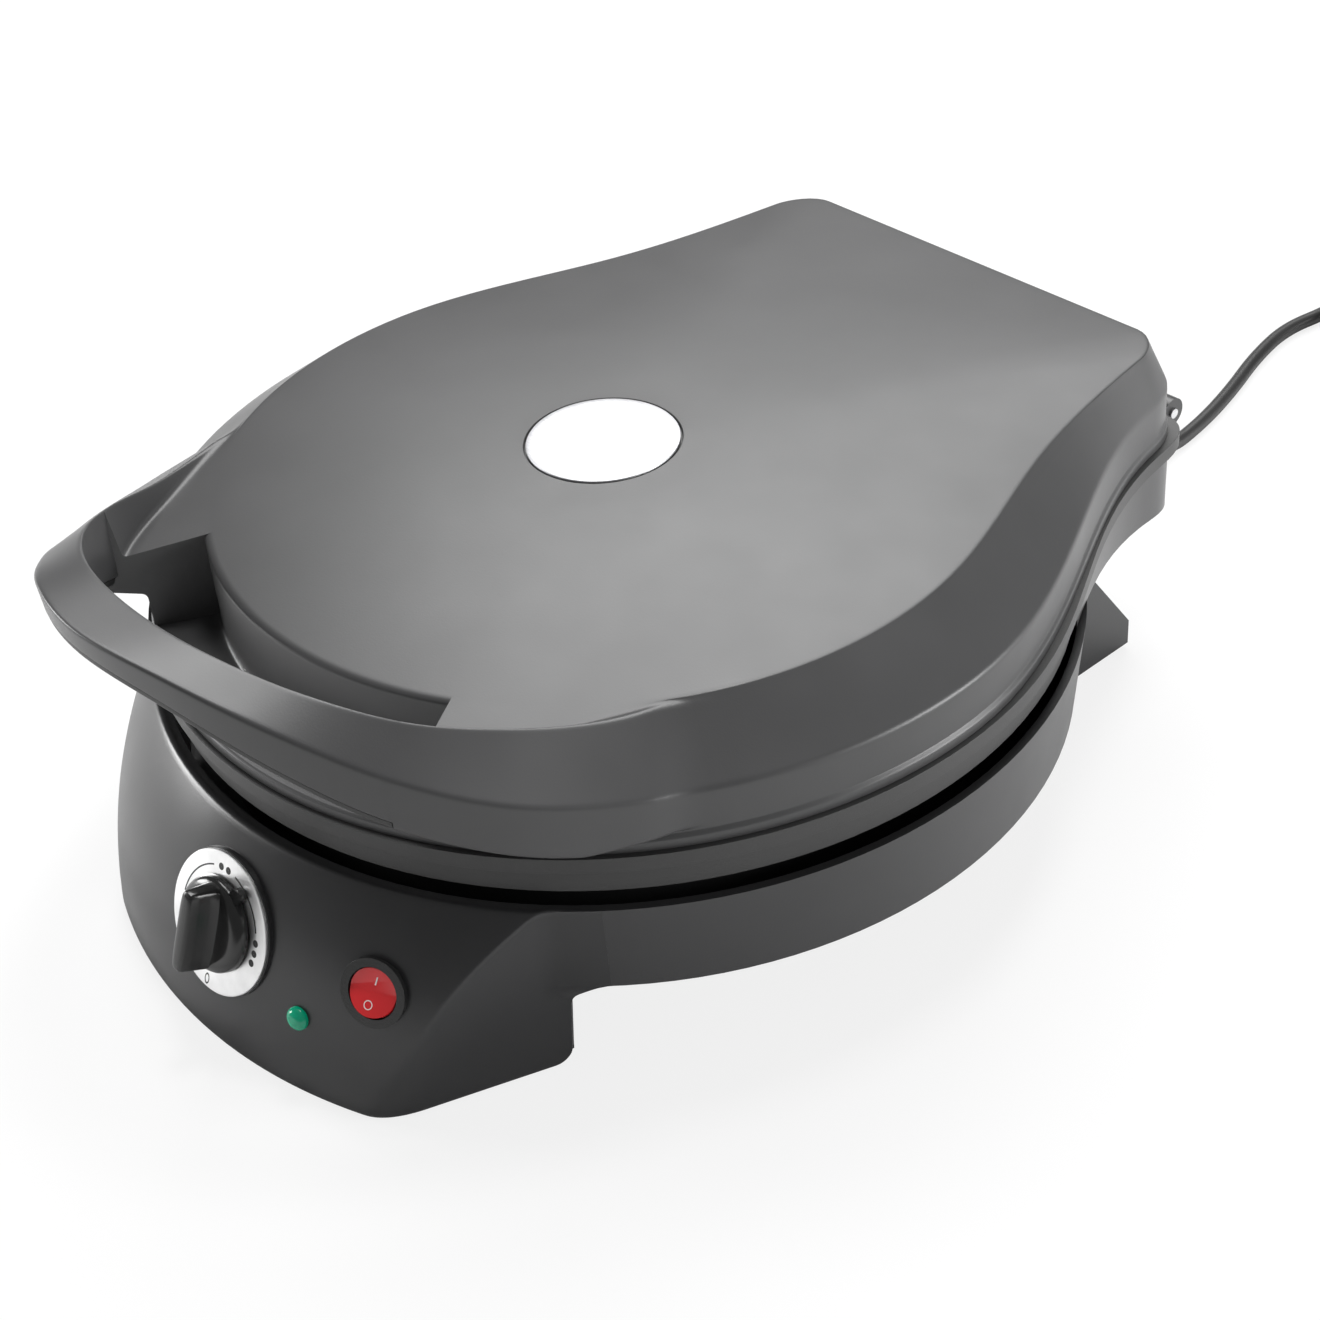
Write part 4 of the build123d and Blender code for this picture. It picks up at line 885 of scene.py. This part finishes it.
def behind_console(points):
    """The base's points with the console's own walls drawn in behind the new skin: above the
    dish's lower edge toward the dish, below it by a fixed distance, and clear of the skin's foot
    and top."""
    wall_in, leg_in, into_dish, foot, top = 3.6, 3.8, 0.4, 4.0, 78.6
    moved = points / MM - (0, CENTRE_Y, 0)
    x, y, z = moved.T
    radius = np.hypot(x, y)
    dish = dish_radius(z)
    ahead = (np.abs(np.degrees(np.arctan2(x, -y))) < CONSOLE_HALF) & (y < 3.5 - LEG_Y)
    above = ahead & (z > DISH_LOW - 0.1) & (radius > dish + 0.1)
    below = ahead & (z <= DISH_LOW - 0.1)
    drawn = np.where(below, radius - leg_in, radius)
    target = np.where(above, np.maximum(radius - wall_in, dish - into_dish), drawn)
    moved[:, :2] *= (target / np.maximum(radius, 1.0))[:, None]
    moved[:, 2] = np.where(below, np.maximum(z, foot), np.where(above, np.minimum(z, top), z))
    return (moved + (0, CENTRE_Y, 0)) * MM


def colour(name, description, *value):
    """A colour that the user can set."""
    return bpy.props.FloatVectorProperty(
        name=name, description=description, subtype="COLOR", size=3, min=0.0, max=1.0, default=value)


class PIZZA_PG_colours(bpy.types.PropertyGroup):
    """Colours of the main pieces"""
    housing: colour("Housing", "Base and hinge housing", 0.028, 0.028, 0.029)
    panel: colour("Console", "Front console", 0.02, 0.02, 0.021)
    lid: colour("Lid", "Lid cover and handle", 0.045, 0.045, 0.046)
    cover: colour("Covers", "Frames and covers", 0.03, 0.03, 0.03)
    badge: colour("Disc", "Metal disc in the lid", 0.36, 0.36, 0.37)
    plate: colour("Baking plate", "Coating of the baking plate", 0.04, 0.038, 0.036)
    sheet: colour("Reflectors", "Bright sheet inside", 0.72, 0.72, 0.72)
    knob: colour("Knob", "Knob and switch frame", 0.012, 0.012, 0.012)
    ring: colour("Dial ring", "Silver ring round the knob", 0.86, 0.86, 0.86)
    rocker: colour("Rocker", "Rocker of the switch", 0.78, 0.03, 0.035)
    lamp: colour("Lamp", "Lens of the lamp", 0.0, 0.5, 0.27)
    cord: colour("Cord", "Sheath of the cord", 0.015, 0.015, 0.015)


class PIZZA_PG_sizes(bpy.types.PropertyGroup):
    """Sizes that may be changed without new solids"""
    cord_radius: bpy.props.FloatProperty(
        name="Cord radius", description="Half the cord's thickness", unit="LENGTH",
        default=0.00325, min=0.002, max=0.005)
    edge_round: bpy.props.FloatProperty(
        name="Edge rounding", description="Rounding of the housing's moulded edges", unit="LENGTH",
        default=0.0004, min=0.0001, max=0.002)


class PIZZA_OT_housing(bpy.types.Operator):
    """Dress the base's moulded parts"""
    bl_idname = "pizza.housing"
    bl_label = "Housing"

    def execute(self, context):
        colours = context.scene.pizza_colours
        edge = context.scene.pizza_sizes.edge_round / MM
        black = moulded("satin black housing", colours.housing, 0.34)
        panel = moulded("satin black panel", colours.panel, 0.3)
        cover = moulded("matt black cover", colours.cover, 0.55, 0.00005)
        from_solid("base_shell", black, "housing_black", edge, shape=behind_console)
        put("console_skin", console_mesh(), panel, "base", "panel_black", "control_panel")
        for node in ("console_floor", "under_cover", "rear_cover"):
            from_solid(node, cover, "cover_black", edge)
        return {"FINISHED"}


class PIZZA_OT_lid(bpy.types.Operator):
    """Dress the lid and its handle"""
    bl_idname = "pizza.lid"
    bl_label = "Lid"

    def execute(self, context):
        colours = context.scene.pizza_colours
        black = moulded("satin black lid", colours.lid, 0.4)
        cover = moulded("matt black frame", colours.cover, 0.5, 0.00005)
        badge = brushed("brushed disc", colours.badge, 0.48, (1.0, 40.0, 1.0))
        put("lid_cover_skin", lid_mesh(), black, "lid", "lid_black", "lid_cover")
        from_solid("lid_frame", cover, "cover_black", 0.4)
        put("handle_lower_cover_skin", handle_cover_mesh(), cover, "lid", "cover_black",
            "handle_lower_cover")
        put("lid_badge_skin", badge_mesh(), badge, "lid", "badge_metal", "lid_badge")
        return {"FINISHED"}


class PIZZA_OT_inside(bpy.types.Operator):
    """Finish the cooking parts inside"""
    bl_idname = "pizza.inside"
    bl_label = "Inside"

    def execute(self, context):
        colours = context.scene.pizza_colours
        plate = moulded("dark baking plate", colours.plate, 0.5, 0.0001)
        sheet = brushed("bright sheet", colours.sheet, 0.28, (1.0, 1.0, 12.0))
        rod = brushed("heat-darkened sheath", (0.2, 0.19, 0.18), 0.45, (1.0, 1.0, 1.0))
        steel = brushed("steel", (0.6, 0.6, 0.61), 0.3, (1.0, 1.0, 30.0))
        rubber = moulded("foot rubber", (0.02, 0.02, 0.02), 0.8, 0.0001)
        for node, material, slot in (
            ("baking_plate", plate, "plate_coating"), ("plate_support", sheet, "tray_metal"),
            ("lower_tray", sheet, "tray_metal"), ("lid_reflector", sheet, "tray_metal"),
            ("lower_element", rod, "element_metal"), ("upper_element", rod, "element_metal"),
            ("lower_clips", steel, "steel"), ("upper_clips", steel, "steel"),
            ("lid_screws", steel, "steel"), ("under_screws", steel, "steel"),
            ("hinge_pins", steel, "steel"), ("thermostat", steel, "steel"),
            ("thermostat_shaft", steel, "steel"), ("thermal_fuse", steel, "steel"),
            ("terminal_block", rubber, "cover_black"), ("lamp_holder", rubber, "cover_black"),
            ("rubber_feet", rubber, "foot_rubber"),
        ):
            from_solid(node, material, slot, angle=8.0 if node == "baking_plate" else 12.0)
        return {"FINISHED"}


class PIZZA_OT_controls(bpy.types.Operator):
    """Make the dial, the switch and the lamp"""
    bl_idname = "pizza.controls"
    bl_label = "Controls"

    def execute(self, context):
        colours = context.scene.pizza_colours
        black = moulded("gloss black knob", colours.knob, 0.2)
        ring = brushed("satin silver ring", colours.ring, 0.34, (1.0, 1.0, 1.0))
        paint = moulded("black marks", (0.02, 0.02, 0.02), 0.5)
        white = moulded("white marks", (0.85, 0.8, 0.8), 0.5)
        red = moulded("red rocker", colours.rocker, 0.16, 0.000001, Transmission_Weight=0.1)
        green = moulded("green lens", colours.lamp, 0.05, 0.000001, Transmission_Weight=0.3)
        put("knob_skin", knob_mesh(), black, "knob", "housing_black", "knob")
        put("dial_ring_skin", ring_mesh(), ring, "base", "dial_chrome", "dial_ring")
        put("dial_marks", dial_marks_mesh(), paint, "base", "dial_chrome")
        from_solid("switch_body", black, "cover_black", 0.4)
        from_solid("rocker", red, "rocker_red", 0.3)
        put("rocker_marks", rocker_marks_mesh(), white, "rocker", "rocker_red")
        put("lamp_lens_skin", lamp_mesh(), green, "base", "lamp_green", "lamp_lens")
        return {"FINISHED"}


# The cord's radius and the route of the free cord, repeated from the part's source, in
# millimetres.
CORD_R = 3.25
CORD_ROUTE = [
    (10.0, 225.0, 77.0), (10.0, 245.0, 77.0), (11.0, 263.0, 62.0), (12.5, 275.0, 38.0),
    (13.5, 286.0, 15.0), (14.0, 305.0, 3.25), (10.5, 334.0, 3.25), (3.5, 363.0, 3.25),
    (-6.5, 394.0, 3.25), (-12.0, 424.0, 3.25), (-7.0, 450.0, 3.25), (-7.0, 472.0, 3.25),
]
# The coil: where it starts, its radius, how far each turn draws in, the height of its second
# layer over the first and how far the cord's end stands beside it.
COIL_START = (-7.0, 472.0)
COIL_R = 39.5
COIL_STEP = 3.55
COIL_LAYER = 7.1
END_ASIDE = 9.0


def round_points(centre, radius, start, turn, z0, z1, count):
    """Controls of an arc for a spline of order 3: `count` points slightly outside it, each where
    the tangents at the ends of its share of the arc meet."""
    angles = np.linspace(start, start + turn, count + 1)
    middle = (angles[:-1] + angles[1:]) / 2
    reach = radius / math.cos(turn / count / 2)
    z = z0 + (z1 - z0) * (middle - start) / turn
    return [(centre[0] + reach * math.cos(a), centre[1] + reach * math.sin(a), h) for a, h in zip(middle, z)]


def coil_points():
    """Controls of the coil and of the straight end beside it. The coil is a row of half turns
    from side to side: the lower layer draws in, and the upper one, to which the third half turn
    rises, widens again."""
    x, y = COIL_START
    y_turn = y + 2 * CORD_R
    low, high = CORD_R, CORD_R + COIL_LAYER
    sides = (x, x + 2 * COIL_R, x + 2 * COIL_STEP, x + 2 * (COIL_R - COIL_STEP), x,
             x + 2 * COIL_R + END_ASIDE)
    heights = (low, low, low, high, high, high)
    points = [(x, y_turn, low)]
    for here, there, z0, z1 in zip(sides, sides[1:], heights, heights[1:]):
        centre, radius = ((here + there) / 2, y_turn), abs(there - here) / 2
        start = math.pi if here < there else 0.0
        points += round_points(centre, radius, start, -math.pi, z0, z1, 6)
    return points + [(sides[-1], y_turn, high), (sides[-1], y, high)]


class PIZZA_OT_cord(bpy.types.Operator):
    """Lay the mains cord, its coil and its plug"""
    bl_idname = "pizza.cord"
    bl_label = "Cord"

    def execute(self, context):
        radius = context.scene.pizza_sizes.cord_radius
        black = moulded("cord sheath", context.scene.pizza_colours.cord, 0.45, 0.00003)
        steel = brushed("plated pins", (0.75, 0.72, 0.66), 0.22, (1.0, 20.0, 1.0))
        route = CORD_ROUTE + coil_points()
        curve = bpy.data.curves.new("mains_cord", "CURVE")
        curve.dimensions = "3D"
        spline = curve.splines.new("NURBS")
        spline.points.add(len(route) - 1)
        co = np.ones((len(route), 4))
        co[:, :3] = (np.array(route) + (0, CENTRE_Y, 0)) * MM
        spline.points.foreach_set("co", co.ravel())
        spline.order_u = 3
        spline.use_endpoint_u = True
        spline.resolution_u = 10
        curve.bevel_depth = radius
        curve.bevel_resolution = 6
        curve.use_fill_caps = True
        curve.materials.append(black)
        flex = bpy.data.objects.new("mains_cord", curve)
        context.scene.collection.objects.link(flex)
        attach(flex, "base")
        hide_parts("cord", "cord_coil")
        relief = from_solid("cord_relief", black, "cord_rubber", 0.3)
        body = from_solid("plug_body", black, "cord_rubber", 1.0)
        pins = from_solid("plug_pins", steel, "pin_metal", 0.3)
        return {"FINISHED"}


# The floor's half width in metres, its colour and how much of it shows as plain white.
FLOOR_REACH = 6.0
FLOOR_COLOUR = (0.8, 0.8, 0.8)
FLOOR_WHITE = 0.82
WORLD_STRENGTH = 0.24
# Each lamp's place and size in metres and its power in watts. All point at the same place.
LAMPS = (
    ("rear_sheet", (-0.95, 1.05, 1.9), 1.6, 60), ("left_strip", (-1.6, -1.0, 0.45), 0.7, 24),
    ("right_strip", (1.8, 1.1, 0.4), 0.9, 44), ("key", (0.02, 0.38, 2.0), 0.4, 14),
)
LAMP_TARGET = (0, 0, 0.1)
# The camera fitted to the photograph: azimuth, elevation and roll in degrees, the point it looks
# at in millimetres, its distance in metres, and the focal length and width in pixels.
CAMERA_ANGLES = (51.1696, 36.9048, -5.1818)
CAMERA_TARGET = (8.70, 9.57 + CENTRE_Y, 48.36)
CAMERA_AWAY = 0.93343
FOCAL_PIXELS = 2486.5
PHOTO_PIXELS = 1320
SENSOR = 36.0


class PIZZA_OT_stage(bpy.types.Operator):
    """Set the floor, the lights and the camera"""
    bl_idname = "pizza.stage"
    bl_label = "Stage"

    def execute(self, context):
        scene = context.scene
        scene.view_settings.view_transform = "Standard"
        self.floor(scene)
        self.world(scene)
        for name, place, size, power in LAMPS:
            self.lamp(scene, name, place, size, power)
        self.camera(scene)
        return {"FINISHED"}

    def floor(self, scene):
        """A pale floor, which the camera sees mostly as plain white."""
        mesh = bpy.data.meshes.new("floor")
        corners = [(x * FLOOR_REACH, y * FLOOR_REACH, 0) for x, y in ((-1, -1), (1, -1), (1, 1), (-1, 1))]
        mesh.from_pydata(corners, [], [(0, 1, 2, 3)])
        made = bpy.data.objects.new("floor", mesh)
        scene.collection.objects.link(made)
        shader = Shader("white sweep", FLOOR_COLOUR, 0.9)
        glow = shader.node("ShaderNodeEmission", Strength=1.0)
        path = shader.node("ShaderNodeLightPath")
        mix = shader.node("ShaderNodeMixShader")
        share = shader.node("ShaderNodeMath", operation="MULTIPLY")
        share.inputs[1].default_value = FLOOR_WHITE
        shader.link(path, "Is Camera Ray", share, 0)
        shader.link(share, 0, mix, 0)
        shader.link(shader.bsdf, 0, mix, 1)
        shader.link(glow, 0, mix, 2)
        shader.link(mix, 0, shader.tree.nodes["Material Output"], "Surface")
        mesh.materials.append(shader.material)

    def world(self, scene):
        """An even soft light, which the camera sees as plain white."""
        world = bpy.data.worlds.new("studio")
        scene.world = world
        world.use_nodes = True
        tree = world.node_tree
        soft = tree.nodes["Background"]
        soft.inputs["Color"].default_value = (1, 1, 1, 1)
        soft.inputs["Strength"].default_value = WORLD_STRENGTH
        white = tree.nodes.new("ShaderNodeBackground")
        white.inputs["Strength"].default_value = 1.0
        path = tree.nodes.new("ShaderNodeLightPath")
        mix = tree.nodes.new("ShaderNodeMixShader")
        tree.links.new(path.outputs["Is Camera Ray"], mix.inputs[0])
        tree.links.new(soft.outputs[0], mix.inputs[1])
        tree.links.new(white.outputs[0], mix.inputs[2])
        tree.links.new(mix.outputs[0], tree.nodes["World Output"].inputs["Surface"])

    def lamp(self, scene, name, place, size, power):
        """A square area lamp turned toward the lamps' target."""
        data = bpy.data.lights.new(name, "AREA")
        data.size = size
        data.energy = power
        made = bpy.data.objects.new(name, data)
        made.location = place
        made.rotation_euler = (Vector(LAMP_TARGET) - Vector(place)).to_track_quat("-Z", "Y").to_euler()
        scene.collection.objects.link(made)

    def camera(self, scene):
        """The photograph's camera, turned by azimuth and elevation and then rolled."""
        azimuth, elevation, roll = (math.radians(a) for a in CAMERA_ANGLES)
        ahead = Vector((-math.sin(azimuth) * math.cos(elevation),
                        math.cos(azimuth) * math.cos(elevation), -math.sin(elevation)))
        level = Vector((math.cos(azimuth), math.sin(azimuth), 0.0))
        above = level.cross(ahead)
        right = math.cos(roll) * level + math.sin(roll) * above
        up = -math.sin(roll) * level + math.cos(roll) * above
        data = bpy.data.cameras.new("camera")
        data.sensor_width = SENSOR
        data.lens = FOCAL_PIXELS / PHOTO_PIXELS * SENSOR
        data.clip_start = 0.05
        made = bpy.data.objects.new("camera", data)
        turn = Matrix((right, up, -ahead)).transposed()
        place = Vector(CAMERA_TARGET) * MM - ahead * CAMERA_AWAY
        made.matrix_world = Matrix.Translation(place) @ turn.to_4x4()
        scene.collection.objects.link(made)
        scene.camera = made


OPERATORS = (PIZZA_OT_housing, PIZZA_OT_lid, PIZZA_OT_inside, PIZZA_OT_controls, PIZZA_OT_cord,
             PIZZA_OT_stage)


class PIZZA_PT_panel(bpy.types.Panel):
    """Buttons for the pizza maker's pieces"""
    bl_idname = "PIZZA_PT_panel"
    bl_label = "Pizza maker"
    bl_space_type = "VIEW_3D"
    bl_region_type = "UI"
    bl_category = "Pizza maker"

    def draw(self, context):
        for settings in (context.scene.pizza_colours, context.scene.pizza_sizes):
            for name in settings.__annotations__:
                self.layout.prop(settings, name)
        for operator in OPERATORS:
            self.layout.operator(operator.bl_idname)


CLASSES = (PIZZA_PG_colours, PIZZA_PG_sizes, *OPERATORS, PIZZA_PT_panel)


def register():
    for item in CLASSES:
        bpy.utils.register_class(item)
    bpy.types.Scene.pizza_colours = bpy.props.PointerProperty(type=PIZZA_PG_colours)
    bpy.types.Scene.pizza_sizes = bpy.props.PointerProperty(type=PIZZA_PG_sizes)


def unregister():
    del bpy.types.Scene.pizza_sizes
    del bpy.types.Scene.pizza_colours
    for item in reversed(CLASSES):
        bpy.utils.unregister_class(item)


def main():
    """Makes the object piece by piece."""
    register()
    bpy.ops.pizza.stage()
    bpy.ops.pizza.cord()
    bpy.ops.pizza.housing()
    bpy.ops.pizza.lid()
    bpy.ops.pizza.inside()
    bpy.ops.pizza.controls()


if __name__ == "__main__":
    main()
